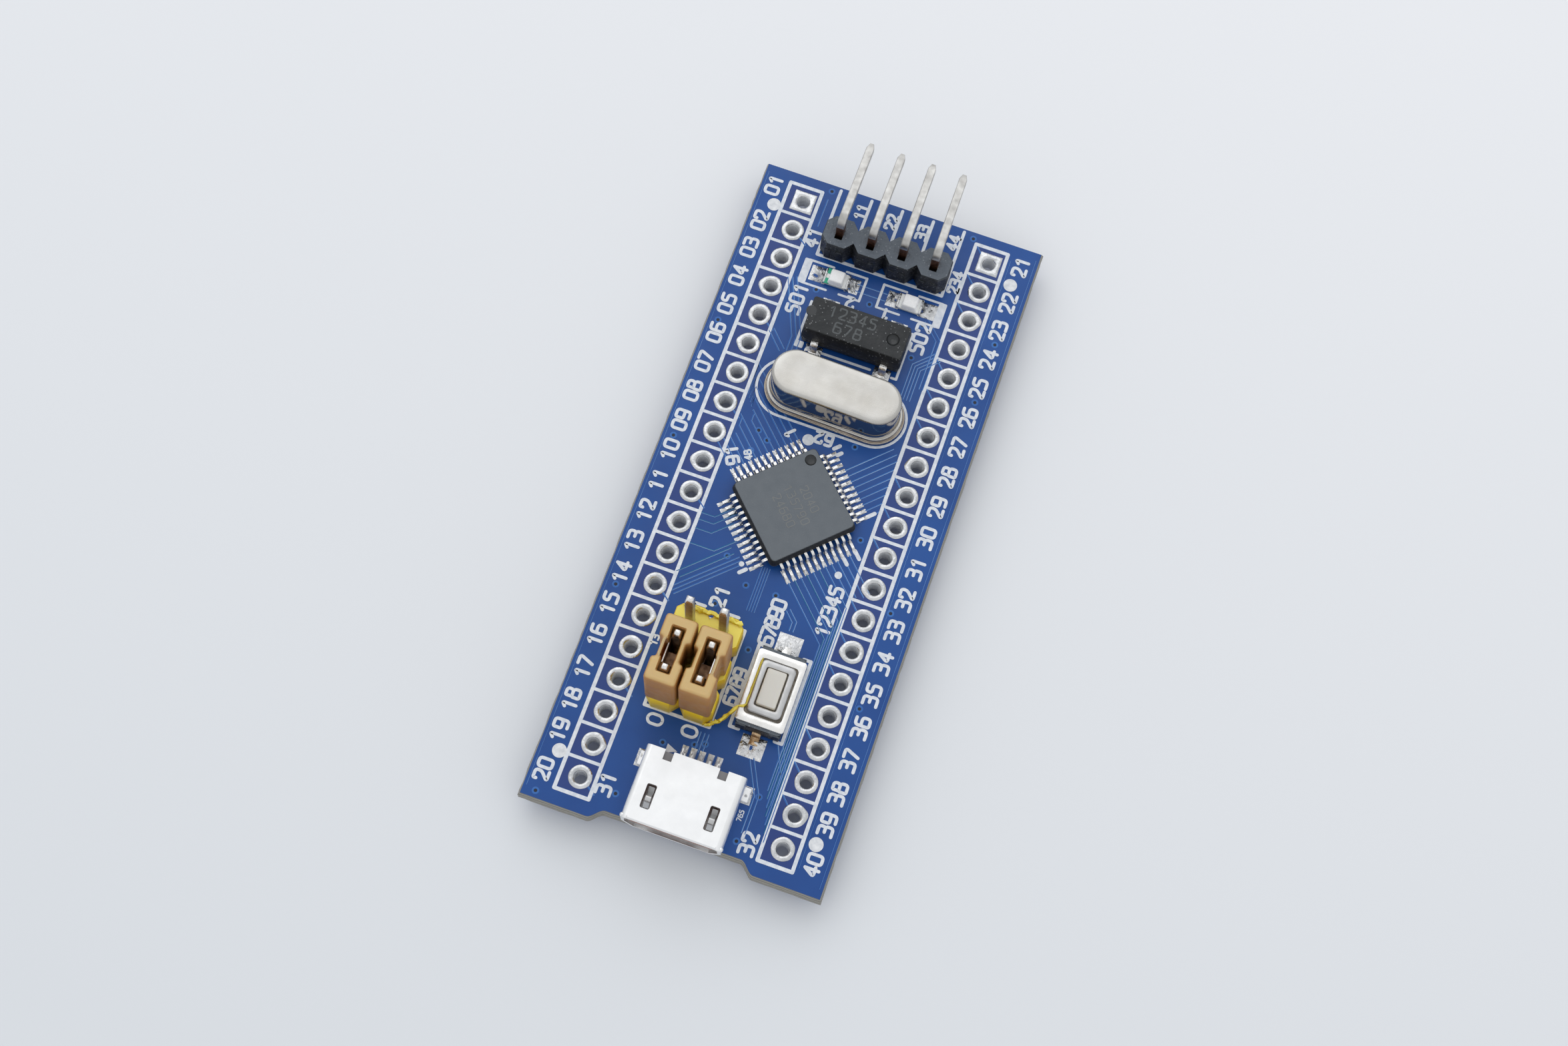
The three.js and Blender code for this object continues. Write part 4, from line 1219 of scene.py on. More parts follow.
# %% [markdown]
# ## Through-plated dots
#
# Small plated holes join the board's two sides. The mask has sunk into them, so each is a
# tiny ring round a pit painted dark, a painted shade. Under the printed ladders the mask lies
# on bare laminate instead of copper, and looks a shade more violet, so each row gets a thin
# panel of its own.

# %% Vias and laminate panels
VIAS = [
    (-5.82, 25.8), (5.83, 25.8), (0, 17.7), (-4.25, 17.45), (4.4, 17.45), (4.4, 14.6), (10.1, 17.85),
    (-10.47, 12.45), (10.1, 12.8), (-4.53, 5.02), (-3.67, 4.48), (-4.55, 3.3), (-10.4, 2.45),
    (5.45, -0.57), (2.7, 6.25), (-3.4, -5.1), (-1.35, -6.75), (0.97, -6.75), (-3.0, -8.83),
    (-10.33, -9.92), (0.45, -11.3), (9.33, -5.15), (9.47, -12.7), (-10.25, -26.1), (-4.85, -24.4),
    (4.35, -24.7), (4.8, -21.2), (-0.8, -19.2), (-0.1, -18.9), (-3.0, -19.8),
]
# Each via's pit is painted dark, a painted shade in the hole.
pit_painted_shade, tree, shader = surface("via_pit", paint(10, 18, 38), Roughness=0.5)
tinted(tree, shader, effect(tree, mottle, Per_mm=8.0)["Value"], paint(6, 12, 28), paint(14, 26, 52))
mask_violet = lacquer("mask_on_laminate", paint(28, 56, 122), paint(36, 64, 130))

dots = Stock()
for x, y in VIAS:
    pit, rim, foot = disc(0.13, x, y, 14), disc(0.18, x, y, 14), disc(0.27, x, y, 14)
    floor_z = TOP + 0.004
    sunk = TOP - 0.02
    collar(dots, [(foot, sunk), (foot, floor_z), (rim, TOP + 0.02), (pit, floor_z), (pit, sunk)])
    stack(dots, [(pit, TOP - 0.03), (pit, floor_z)], 1)
    stack(dots, [(pit[::-1], 0.03), (pit[::-1], -0.006)], 1)
for x0, x1 in (FRAME_LEFT, FRAME_RIGHT):
    middle_x, width = (x0 + x1) / 2, x1 - x0 - 0.3
    for y in ROW_YS:
        loop = moved(rounded(width, PITCH - 0.3, 0.1, 2), middle_x, y)
        row_x = math.copysign(ROW_X, middle_x)
        plate(dots, [loop, disc(HOLE_R + 0.01, row_x, y)], TOP - 0.01, TOP + 0.006, 2)
dot_piece = finished("vias_and_panels", dots, [mask_copper, pit_painted_shade, mask_violet])
print("vias:", len(VIAS))

# %% [markdown]
# ## The chip's package
#
# A flat square package is moulded in two halves that meet at the lead frame, so its sides
# slope both ways from a parting line. The lower corners are cut and the top carries a round
# dimple at lead 1. The sides are a stack of outlines, and the top is a sheet with a hole
# where the dimple's bowl joins it.

# %% Tops with a round dish
def dished_top(stock, loop, z, x, y, r, depth, finish=0, place=None, bowl_finish=0):
    """Closes the top of a stack, with a shallow round bowl in it."""
    rim = disc(r, x, y, 24)
    stock.add([(px, py, z) for px, py in loop + rim], filled((loop, rim)), finish, place)
    bowl = [(disc(r * part, x, y, 24), z - depth * (1 - part**4)) for part in (0.25, 0.6, 0.85, 0.95, 1.0)]
    points, sides, around = rings(bowl)
    sides = [face[::-1] for face in sides] + [tuple(range(around))]
    stock.add(points, [face[::-1] for face in sides[:-1]] + [sides[-1]], bowl_finish, place)


def open_stack(stock, loops, finish=0, place=None):
    """A stack closed below and open above."""
    points, faces, around = rings(loops)
    stock.add(points, faces + [tuple(reversed(range(around)))], finish, place)


def shrunk_levels(levels, steps=5):
    """Rounded rectangles from (width, depth, corner radius, height) rows."""
    return [(rounded(w, d, r, steps), z) for w, d, r, z in levels]


print("dished_top, open_stack, shrunk_levels")

# %% Chip package
CHIP_W = 7.0
chip_at = middle("mcu_package")
chip_low, chip_high = (corner.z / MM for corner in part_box("mcu_package"))
PARTING = TOP + 0.735
chip_place = turned(chip_at.x, chip_at.y, 0, -45)
chip = Stock()
sides = shrunk_levels([
    (6.62, 6.62, 0.3, chip_low), (6.7, 6.7, 0.34, chip_low + 0.04), (CHIP_W, CHIP_W, 0.38, PARTING - 0.03),
    (CHIP_W - 0.05, CHIP_W - 0.05, 0.38, PARTING), (CHIP_W, CHIP_W, 0.38, PARTING + 0.03),
    (6.76, 6.76, 0.34, chip_high - 0.07), (6.7, 6.7, 0.33, chip_high - 0.02), (6.62, 6.62, 0.3, chip_high),
])
open_stack(chip, sides, 0, chip_place)
dished_top(chip, sides[-1][0], chip_high, -2.62, 2.62, 0.44, 0.13, 0, chip_place, 2)
for row, text in enumerate(("2040", "135790", "24680")):
    spot = chip_place @ Vector((0.1, 1.2 - row * 1.05, 0))
    numerals(
        chip, text, spot.x, spot.y, 0.62, -45, 0.07, 0.3,
        low=chip_high - 0.01, high=chip_high + 0.001, finish=1,
    )
laser_mark = plastic("laser_mark", paint(70, 72, 74), paint(112, 114, 114), 0.5, 0.1, 0.004, 12.0)
polished_resin = plastic("polished_resin", paint(20, 21, 23), paint(34, 37, 40), 0.25, 0.0, 0.004, 8.0)
chip_piece = finished(
    "chip_package", chip, [mould_resin, laser_mark, polished_resin], stands_for=["mcu_package"]
)
print("chip faces:", len(chip.faces))

# %% [markdown]
# ## The chip's leads and their solder
#
# A gull-wing lead leaves the package level, drops, and turns out flat on its pad. Twelve
# stand on each side, half a millimetre apart. Under and round each foot lies a cushion of
# solder that thins out past the toe, and that row of small bright cushions is what the eye
# reads as a soldered chip.

# %% Leads and pads of the chip
lead_path = bent([(3.2, 0.735), (3.86, 0.735), (4.0, 0.075), (4.5, 0.075)], 0.16)
LEAD_SIDES = {"north_east": 0, "north_west": 90, "south_west": 180, "south_east": 270}
for side_name, facing_angle in LEAD_SIDES.items():
    leads = Stock()
    side_place = turned(chip_at.x, chip_at.y, TOP, 45 + facing_angle)
    for lead in range(LEADS_A_SIDE):
        across = (lead - (LEADS_A_SIDE - 1) / 2) * LEAD_STEP
        place = side_place @ Matrix.Translation((0, across, 0))
        strip(leads, lead_path, 0.22, 0.13, 0, place)
        pad = place @ turned(4.38, angle=90)
        cushion(leads, 0.3, 1.1, 0.0, 0.12, pad, 1, lean=0.25, seed=lead + facing_angle, steps=6, rough=0.5)
    comb = finished(
        f"chip_leads_{side_name}", leads, [lead_tin, solder], stands_for=[f"mcu_leads_{side_name}"]
    )
print("leads:", len(LEAD_SIDES) * LEADS_A_SIDE)

# %% [markdown]
# ## The fast crystal's can
#
# The can is drawn from nickel-plated sheet and welded round a stamped base. Its top is
# nearly flat with a soft shoulder, its walls are mirror-like, and the welded flange steps
# down in rolled rings. All of it is one outline, a slot shape, grown and shrunk level by
# level, so the rings stay parallel all the way round.

# %% Can and flange
can_turn = math.degrees(math.atan2(can_spots[1].y - can_spots[0].y, can_spots[1].x - can_spots[0].x))
can_middle = (can_spots[0] + can_spots[1]) / 2
can_place = turned(can_middle.x, can_middle.y, TOP, can_turn)
CAN_W, CAN_D, CAN_H = 10.1, 3.7, 3.55
BASE_W, BASE_D = 11.05, 4.55


def slot_levels(rows, w, d, steps=12):
    """Slot outlines from (shrink, height) rows."""
    return [(rounded(w - 2 * s, d - 2 * s, d / 2 - s, steps), z) for s, z in rows]


SHOULDER_R = 0.3
bends = (0, 0.25, 0.5, 0.8, 1.1, 1.35, 1.57)
shoulder = [(SHOULDER_R * (1 - math.cos(a)), CAN_H - SHOULDER_R * (1 - math.sin(a))) for a in bends]
can = Stock()
lip = [(-0.24, 0.66), (-0.28, 0.7), (-0.29, 0.76), (-0.26, 0.81), (-0.19, 0.84), (-0.14, 0.82), (-0.11, 0.83)]
lip += [(-0.08, 0.9), (-0.03, 1.0), (0.0, 1.15)]
crown = [(0.62, CAN_H + 0.0), (1.1, CAN_H - 0.012), (1.5, CAN_H - 0.016)]
stack(can, slot_levels(lip + shoulder + crown, CAN_W, CAN_D), 0, can_place)
can_piece = finished("crystal_can", can, [nickel], stands_for=["fast_crystal_can"], smooth=50)

flange = Stock()
rolled = [(0.1, 0.25), (0.02, 0.28), (0.0, 0.33), (0.01, 0.4), (0.05, 0.44), (0.1, 0.45), (0.14, 0.42)]
rolled += [(0.17, 0.43), (0.17, 0.53), (0.2, 0.6), (0.25, 0.64), (0.34, 0.65)]
stack(flange, slot_levels(rolled, BASE_W, BASE_D), 0, can_place)
flange_piece = finished(
    "crystal_flange", flange, [flange_nickel], stands_for=["fast_crystal_flange"], smooth=50
)
print("can turned", round(can_turn, 2), "degrees")

# %% [markdown]
# ## The watch crystal
#
# The slow crystal hides in a black resin block with a lead at each corner. Like the chip it
# is moulded in two halves, and it is marked by a round dimple near one end. The leads drop
# down its long sides onto wide pads, where the solder lies thick and uneven.

# %% Watch crystal body
watch_low, watch_high = limits("watch_crystal_body")
watch_at = (watch_low + watch_high) / 2
watch_place = turned(watch_at.x, watch_at.y)
WATCH_W, WATCH_D = 7.9, 3.2
watch = Stock()
levels = shrunk_levels([
    (7.6, 2.8, 0.12, watch_low.z), (7.68, 2.9, 0.15, watch_low.z + 0.05),
    (WATCH_W, WATCH_D, 0.18, TOP + 1.12), (WATCH_W - 0.04, WATCH_D - 0.04, 0.18, TOP + 1.15),
    (WATCH_W, WATCH_D, 0.18, TOP + 1.2), (7.74, 2.8, 0.2, watch_high.z - 0.07),
    (7.7, 2.74, 0.2, watch_high.z - 0.02), (7.62, 2.64, 0.18, watch_high.z),
], 4)
open_stack(watch, levels, 0, watch_place)
dished_top(watch, levels[-1][0], watch_high.z, 2.82, 0.0, 0.5, 0.22, 0, watch_place, 2)
gate_mark = disc(0.4, -3.72, 0.15, 20)
stack(watch, [(gate_mark, watch_high.z - 0.2), (gate_mark, watch_high.z + 0.0005)], 2, watch_place)
for row, text in enumerate(("12345", "678")):
    numerals(
        watch, text, watch_at.x - 0.6, watch_at.y + 0.64 - row * 1.2, 0.86, 0, 0.13, 0.3,
        low=watch_high.z - 0.01, high=watch_high.z + 0.001, finish=1,
    )
worn_mark = plastic("worn_mark", paint(60, 62, 64), paint(76, 80, 82), 0.5, 0.5, 0.04, 5.0)
watch_piece = finished(
    "watch_body", watch, [glossy_resin, worn_mark, polished_resin], stands_for=["watch_crystal_body"]
)
print("watch crystal", round(size("watch_crystal_body").x, 2), "mm long")

# %% Watch crystal leads and pads
watch_leads = Stock()
path = bent([(1.3, 1.03), (1.88, 1.03), (2.04, 0.09), (2.4, 0.09)], 0.16)
for number in range(1, 5):
    spot = middle(f"watch_crystal_lead_{number}")
    outward = 90 if spot.y > watch_at.y else -90
    place = turned(spot.x, watch_at.y, TOP, outward)
    strip(watch_leads, path, 0.58, 0.16, 0, place, cut=0.15)
    pad = place @ turned(2.02, angle=90)
    cushion(watch_leads, 1.32, 1.15, 0.0, 0.22, pad, 1, lean=0.3, seed=number * 3.7, steps=10, rough=0.9)
names = [f"watch_crystal_lead_{number}" for number in range(1, 5)]
watch_lead_piece = finished("watch_leads", watch_leads, [lead_tin, solder], stands_for=names, smooth=50)
print("watch crystal soldered")

# %% [markdown]
# ## Header housings
#
# A pin header is moulded as a row of square cells with cut corners, so that it can be
# snapped to length. Pins are pressed through, and in front of each bent pin the mould leaves
# a small dark pocket. The outline is one cell's corners repeated, and a bevel softens it.

# %% Cells with cut corners
CUT = 0.56


def cells_outline(cols, rows, x=0.0, y=0.0, inset=0.0):
    """Anticlockwise outline of a housing, with a notch between cells."""
    half = PITCH / 2 - inset
    wide, deep = (cols - 1) * PITCH / 2, (rows - 1) * PITCH / 2
    loop = []
    for side, (count, reach, depth) in enumerate(((cols, wide, deep), (rows, deep, wide)) * 2):
        turn = Matrix.Rotation(side * math.pi / 2, 2)
        for cell in range(count):
            along = -reach + cell * PITCH
            lip = PITCH / 2 - CUT
            if cell:
                loop.append(turn @ Vector((along - PITCH / 2, -(depth + half - 1.15 * CUT))))
            left = lip if cell else half - CUT
            right = lip if cell < count - 1 else half - CUT
            loop.append(turn @ Vector((along - left, -(depth + half))))
            loop.append(turn @ Vector((along + right, -(depth + half))))
    return [(point.x + x, point.y + y) for point in loop]


HOUSING_TOP = TOP + 2.5
debug_x = middle("debug_housing").x
debug = Stock()
pockets = [corner_box(pin_x - 0.3, DEBUG_Y - 0.62, pin_x + 0.3, DEBUG_Y - 0.1) for pin_x in debug_pins]
loops = [(cells_outline(4, 1, debug_x, DEBUG_Y, inset), z) for inset, z in (
    (0.07, TOP + 0.02), (0.0, TOP + 0.12), (0.0, HOUSING_TOP - 0.14), (0.06, HOUSING_TOP - 0.05),
)]
open_stack(debug, loops)
plate(debug, [cells_outline(4, 1, debug_x, DEBUG_Y, 0.06)] + pockets, HOUSING_TOP - 0.6, HOUSING_TOP)
debug_face = DEBUG_Y - PITCH / 2 - 0.015
for pin_x in debug_pins:
    for rib_x in (pin_x - 0.55, pin_x + 0.35):
        block(debug, 0.5, 0.06, TOP + 0.25, HOUSING_TOP - 0.9, rib_x, debug_face)
debug_piece = finished("debug_base", debug, [header_black], stands_for=["debug_housing"], soft=0.04)
print("debug header", round(size("debug_housing").x, 2), "mm long")

# %% [markdown]
# ## Bent pins
#
# A header pin is square wire, swaged to a point and plated. The debug pins come up through
# their housing and bend out over the board's end, each a little differently. Their plated
# sides carry die marks along the wire, and the front of each pin where it rises from the
# housing into the bend is painted brown, a painted shade and reflection of the dark housing.

# %% Debug pins and boot pins
# A brown tin for the front of each pin by the housing: painted shade and reflection.
pin_painted_shade = metal("bent_pin_painted_shade", paint(142, 100, 80), paint(92, 62, 50), (0.3, 0.5), 3.0, 0.02)
PIN_W, TAIL_END = 0.62, -1.38
tip_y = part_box("debug_pin_1")[1].y / MM
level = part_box("debug_pin_1")[1].z / MM - 0.32
random.seed(7)
for number, pin_x in enumerate(debug_pins):
    pin = Stock()
    lean = (1.5 - number) * 0.05
    corners = [(DEBUG_Y, -1.12), (DEBUG_Y, level), (tip_y - 0.5, level)]
    path = bent(corners, 0.62, 6)
    path.append(Vector((tip_y - 0.03, level)))
    path[1:1] = [Vector((DEBUG_Y, z)) for z in (HOUSING_TOP - 0.5, HOUSING_TOP + 0.1, HOUSING_TOP + 0.7)]
    path.insert(0, Vector((DEBUG_Y, TAIL_END)))
    strip(pin, path, PIN_W, PIN_W, 0, Matrix.Rotation(math.pi / 2, 4, "Z"), cut=0.16, ends=(0.5, 0.5))
    for step, point in enumerate(pin.points):
        reach = max(0.0, point.y - DEBUG_Y) / (tip_y - DEBUG_Y)
        pin.points[step] = Vector((pin_x + point.x + lean * reach, point.y, point.z - 0.02 * number * reach))
    # Faces at the front of the pin near the housing take the brown finish: painted shade.
    for step, face in enumerate(pin.faces):
        at = sum((pin.points[corner] for corner in face), Vector()) / len(face)
        if HOUSING_TOP - 0.6 < at.z < HOUSING_TOP + 1.3 and at.y < DEBUG_Y + 0.15:
            pin.finishes[step] = 1
    pin_piece = finished(
        f"bent_pin_{number + 1}", pin, [pin_tin, pin_painted_shade], stands_for=[f"debug_pin_{number + 1}"], smooth=30
    )

pin_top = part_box("boot_pin_1")[1].z / MM
for number, (x, y) in enumerate(boot_spots):
    pin = Stock()
    lean = random.uniform(-0.02, 0.02)
    levels = ((0.5, TAIL_END), (1.0, -1.1), (1.0, pin_top - 0.35), (0.62, pin_top - 0.03), (0.5, pin_top))
    stack(pin, [(moved(rounded(PIN_W * k, PIN_W * k, 0.09, 3), x + lean * z / 9, y), z) for k, z in levels])
    for step, face in enumerate(pin.faces):
        if min(pin.points[corner].z for corner in face) > pin_top - 0.5:
            pin.finishes[step] = 1
    pin_piece = finished(
        f"boot_post_{number + 1}", pin, [pin_tin, lead_tin], stands_for=[f"boot_pin_{number + 1}"]
    )
print("pins:", len(debug_pins) + len(boot_spots))

# %% [markdown]
# ## The boot header's yellow base
#
# This base is moulded in a softer yellow resin and was trimmed by hand. A ragged ridge of
# flash stands along its rear edge, and a thread of the same resin was left lying across the
# board to the button. Flash like that is uneven, so noise moves a swept string.

# %% Yellow base, its ridge and its thread
boot_middle = middle("boot_housing")
boot = Stock()
loops = [(cells_outline(2, 3, boot_middle.x, boot_middle.y, inset), z) for inset, z in (
    (0.05, TOP + 0.02), (0.0, TOP + 0.1), (0.0, HOUSING_TOP - 0.1), (0.07, HOUSING_TOP),
)]
stack(boot, loops)


def thread(stock, path, thick, seed):
    """A ragged string of resin along points in space."""
    points, faces = [], []
    sides = 7
    for step, at in enumerate(path):
        at = Vector(at)
        before, after = Vector(path[max(step - 1, 0)]), Vector(path[min(step + 1, len(path) - 1)])
        along = (after - before).normalized()
        across = along.cross(Vector((0, 0, 1))).normalized()
        up = across.cross(along)
        for side in range(sides):
            turn = 2 * math.pi * side / sides
            swell = thick * (0.75 + 0.7 * noise.noise(Vector((step * 0.9, side * 0.8, seed))))
            swell *= 0.35 if step in (0, len(path) - 1) else 1.0
            points.append(at + across * math.cos(turn) * swell + up * math.sin(turn) * swell)
    for step in range(len(path) - 1):
        for side in range(sides):
            a, b = step * sides + side, step * sides + (side + 1) % sides
            faces.append((b, a, a + sides, b + sides))
    faces.append(tuple(range(sides)))
    faces.append(tuple(reversed(range(len(points) - sides, len(points)))))
    stock.add(points, faces)


rear_edge = boot_middle.y + 1.5 * PITCH
ridge = []
for step in range(26):
    along = step / 25
    lift = 0.1 * math.sin(along * 17) + 0.08 * math.sin(along * 41)
    x = boot_middle.x - 2.1 + 4.5 * along
    ridge.append((x, rear_edge - 0.32 + 0.4 * lift, HOUSING_TOP + 0.06 + abs(lift)))
thread(boot, ridge, 0.22, 4.0)
front_right = (-0.35, boot_middle.y - 1.5 * PITCH + 0.1)
string = []
for step in range(22):
    along = step / 21
    x = front_right[0] - 0.6 + 2.2 * along
    y = front_right[1] - 0.05 + 1.75 * along**2.2 + 0.05 * math.sin(along * 19)
    string.append((x, y, TOP + 0.22 + 1.65 * along**2 + 0.04 * math.sin(along * 31)))
thread(boot, string, 0.19, 9.0)
groove_x = middle("button_base").x - 1.34
caught = [Vector(string[-1]), Vector((groove_x - 0.15, -15.75, TOP + 1.84))]
caught += [Vector((groove_x, -15.5 + 0.4 * step, TOP + 1.73)) for step in range(10)]
thread(boot, caught, 0.12, 5.0)
boot_piece = finished("boot_base", boot, [header_yellow], stands_for=["boot_housing"], smooth=40)
print("thread ends at", [round(value, 2) for value in string[-1]])

# %% [markdown]
# ## Jumper caps
#
# A jumper joins two pins: a sleeve of resin round a folded spring clip. It is waisted where
# fingers grip it, and a slot in its top shows the clip's edge and the pin ends. The outline
# is drawn with the waist and its soft corners, the slot is a second loop inside it, and the
# two are joined over a rounded rim. Each cap rides on its own body, so it can be pulled off.

# %% Jumper caps and clips
JUMPER_W, JUMPER_L = 2.36, 4.98
WAIST, WAIST_L = 0.32, 1.6


def waisted(inset, waist=WAIST):
    """The cap's outline with corners at the waist, each corner rounded."""
    w, d, hold = JUMPER_W / 2 - inset, JUMPER_L / 2 - inset, WAIST_L / 2 + inset
    right = [(w, -d), (w, -hold), (w - waist, -hold + 0.12), (w - waist, hold - 0.12), (w, hold), (w, d)]
    corners = right + [(-x, -y) for x, y in right]
    return [tuple(point) for point in rounded_path(corners, 0.3, True)]


def slot_outline(grow, side):
    """The slot between the pins: square over each pin, and wider on one side at the middle."""
    w, d, hold = 0.47 + grow, 1.68 + grow, 0.7 + grow
    corners = []
    for hand in (1, -1):
        wide = w + (0.22 if hand == side else 0.02)
        edge = [(w, -d), (w, -hold), (wide, -hold + 0.15), (wide, hold - 0.15), (w, hold), (w, d)]
        corners += [(hand * x, hand * y) for x, y in edge]
    return [tuple(point) for point in rounded_path(corners, 0.1, True)]


cap_low = HOUSING_TOP + 0.02
clip_brown = metal("clip_spring", paint(150, 118, 92), paint(92, 68, 52), (0.3, 0.5), 2.0, 0.01)
for side_name, at_side in (("left", -1), ("right", 1)):
    box_low, box_high = limits(f"jumper_cap_{side_name}")
    center = (box_low + box_high) / 2
    place = turned(center.x, center.y)
    cap = Stock()
    outer = [(0.03, cap_low), (0.0, cap_low + 0.08), (0.0, box_high.z - 0.3), (0.04, box_high.z - 0.14)]
    outer += [(0.12, box_high.z - 0.04), (0.26, box_high.z)]
    loops = [(waisted(inset), z) for inset, z in outer]
    points, faces, around = rings(loops)
    cap.add(points, faces, 0, place)
    rim, hole = loops[-1][0], slot_outline(0.08, at_side)
    floor_loop, hole_low = loops[0][0], slot_outline(0.0, at_side)
    for outside, inside, z, up in ((rim, hole, box_high.z, True), (floor_loop, hole_low, cap_low, False)):
        end = filled((outside, inside))
        if not up:
            end = [(a, c, b) for a, b, c in end]
        cap.add([(x, y, z) for x, y in outside + inside], end, 0, place)
    well = [(slot_outline(0.0, at_side), cap_low), (slot_outline(0.0, at_side), box_high.z - 0.1)]
    well.append((slot_outline(0.08, at_side), box_high.z))
    points, faces, around = rings(well)
    cap.add(points, [face[::-1] for face in faces], 0, place)
    cap_piece = finished(
        f"jumper_{side_name}_cap", cap, [cap_tan], f"jumper_{side_name}",
        stands_for=[f"jumper_cap_{side_name}"], smooth=45,
    )
    clip = Stock()
    for hand in (-1, 1):
        lift = 1.3 if hand == at_side else 3.6
        strip_x = hand * 0.43
        high = box_high.z - lift
        block(clip, 0.13, 3.1, cap_low + 0.4, high - 0.2, strip_x, 0.0, 0.03, 0, place, 0.03)
        block(clip, 0.13, 1.5, high - 0.25, high, strip_x, 0.0, 0.03, 1, place, 0.03)
    block(clip, 0.98, 1.0, cap_low + 2.5, cap_low + 2.64, 0.0, 0.0, 0.05, 0, place, 0.03)
    clip_piece = finished(
        f"jumper_{side_name}_clip", clip, [clip_brown, sheet_steel], f"jumper_{side_name}",
        stands_for=[f"jumper_clip_{side_name}"], smooth=40,
    )
    print(side_name, "cap from", round(cap_low, 2), "to", round(box_high.z, 2))

# %% [markdown]
# ## The reset button
#
# A tactile button is a black base with a snap dome in its well, a key that rests on the dome,
# and a cover of thin bent sheet. The cover's top is a flat frame, then a groove, then a
# raised ring round the key. The frame and the ring are closed collars with rounded lips, and
# the groove is simply the gap between them with a darker floor. The dome is a thin shell of
# its own.

# %% Button cover
button_at = middle("button_base")
button_place = turned(button_at.x, button_at.y, TOP)
COVER_W, COVER_L = 3.66, 5.5
RING_W, RING_L = 2.55, 3.95
KEY_W, KEY_L = 1.45, 2.75
PLATE_Z = 1.57
ring_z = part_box("button_cover")[1].z / MM - TOP


def frame_levels(w, d, r, window_w, window_d, window_r, low, high, lip):
    """Outlines for a collar: up the outside, over a rounded lip, and down the window."""
    brink = high - 0.3 * lip
    outside, inside = rounded(w, d, r, 6), rounded(window_w, window_d, window_r, 6)
    levels = [(outside, low), (outside, high - lip)]
    for shrink, radius, z in ((0.6 * lip, r, brink), (2 * lip, max(r - lip, 0.05), high)):
        levels.append((rounded(w - shrink, d - shrink, radius, 6), z))
    for grow, radius, z in ((2 * lip, window_r + lip, high), (0.6 * lip, window_r + 0.3 * lip, brink)):
        levels.append((rounded(window_w + grow, window_d + grow, radius, 6), z))
    return levels + [(inside, high - lip), (inside, low)]


cover = Stock()
top_frame = frame_levels(COVER_W, COVER_L, 0.22, 2.82, 4.22, 0.3, PLATE_Z, PLATE_Z + 0.16, 0.05)
groove = frame_levels(2.84, 4.24, 0.3, RING_W - 0.1, RING_L - 0.1, 0.3, PLATE_Z, PLATE_Z + 0.05, 0.01)
raised_ring = frame_levels(RING_W, RING_L, 0.38, KEY_W + 0.16, KEY_L + 0.16, 0.1, PLATE_Z, ring_z, 0.09)
for finish, levels in enumerate((top_frame, groove, raised_ring)):
    collar(cover, levels, finish, button_place)
for hand in (-1, 1):
    side_x = hand * (COVER_W / 2 - 0.06)
    block(cover, 0.12, COVER_L - 1.0, 0.12, PLATE_Z + 0.03, side_x, 0.0, 0.04, 0, button_place)
# The groove's floor and the raised ring are painted darker than the frame: painted shade in and beside the
# recess.
groove_painted_shade = metal("groove_painted_shade", paint(142, 135, 124), paint(104, 98, 90), (0.4, 0.6), 2.0, 0.01)
cover_piece = finished(
    "key_cover", cover, [sheet_steel, groove_painted_shade, steel_painted_shade], stands_for=["button_cover"], smooth=40
)
print("cover stands", round(ring_z, 2), "mm over the board")

# %% Button base, key and terminals
base = Stock()
WELL_W, WELL_L, WELL_FLOOR = 2.2, 3.5, 0.7
base_outer = [(3.3, 5.9, 0.2, 0.03), (3.4, 6.0, 0.25, 0.12), (3.4, 6.0, 0.25, 1.42), (3.32, 5.92, 0.2, 1.55)]
base_inner = [(WELL_W, WELL_L, 0.1, 1.55), (WELL_W, WELL_L, 0.1, WELL_FLOOR)]
stack(base, shrunk_levels(base_outer + base_inner, 3), 0, button_place)
for hand in (-1, 1):
    for x in (-1.25, 1.25):
        block(base, 0.8, 0.12, 0.3, 1.5, x, hand * 3.0, 0.04, 0, button_place)
base_piece = finished("key_base", base, [header_black], stands_for=["button_base"])

DOME_R, DOME_RISE, DOME_SHEET = 0.95, 0.3, 0.07
dome_low = WELL_FLOOR + 0.01
shares = (1.0, 0.85, 0.65, 0.45, 0.25, 0.08)
arch = [(share * DOME_R, dome_low + DOME_RISE * (1 - share**2)) for share in shares]
dome = Stock()
dome_levels = [(disc(r, 0, 0, 32), z + DOME_SHEET) for r, z in arch]
dome_levels += [(disc(r, 0, 0, 32), z) for r, z in arch[::-1]]
collar(dome, dome_levels, 0, button_place)
dome_piece = finished("snap_dome", dome, [sheet_steel], stands_for=["button_dome"], smooth=50)
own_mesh(dome_piece)

key = Stock()
key_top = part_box("button_plunger")[1].z / MM - TOP
stack(key, shrunk_levels([
    (1.86, 3.16, 0.15, 1.27), (1.9, 3.2, 0.15, 1.3), (1.9, 3.2, 0.15, 1.52), (1.84, 3.14, 0.15, 1.55),
    (KEY_W, KEY_L, 0.12, 1.56), (KEY_W, KEY_L, 0.12, key_top - 0.12),
    (KEY_W - 0.06, KEY_L - 0.06, 0.12, key_top - 0.04),
    (KEY_W - 0.2, KEY_L - 0.2, 0.1, key_top), (KEY_W - 0.7, KEY_L - 0.7, 0.1, key_top - 0.012),
], 4), 0, button_place)
stem_tip, stem = disc(0.36, 0, 0, 20), disc(0.4, 0, 0, 20)
stack(key, [(stem_tip, 1.1), (stem, 1.14), (stem, 1.3)], 0, button_place)
key_piece = finished("key", key, [key_cream], "plunger", stands_for=["button_plunger"])

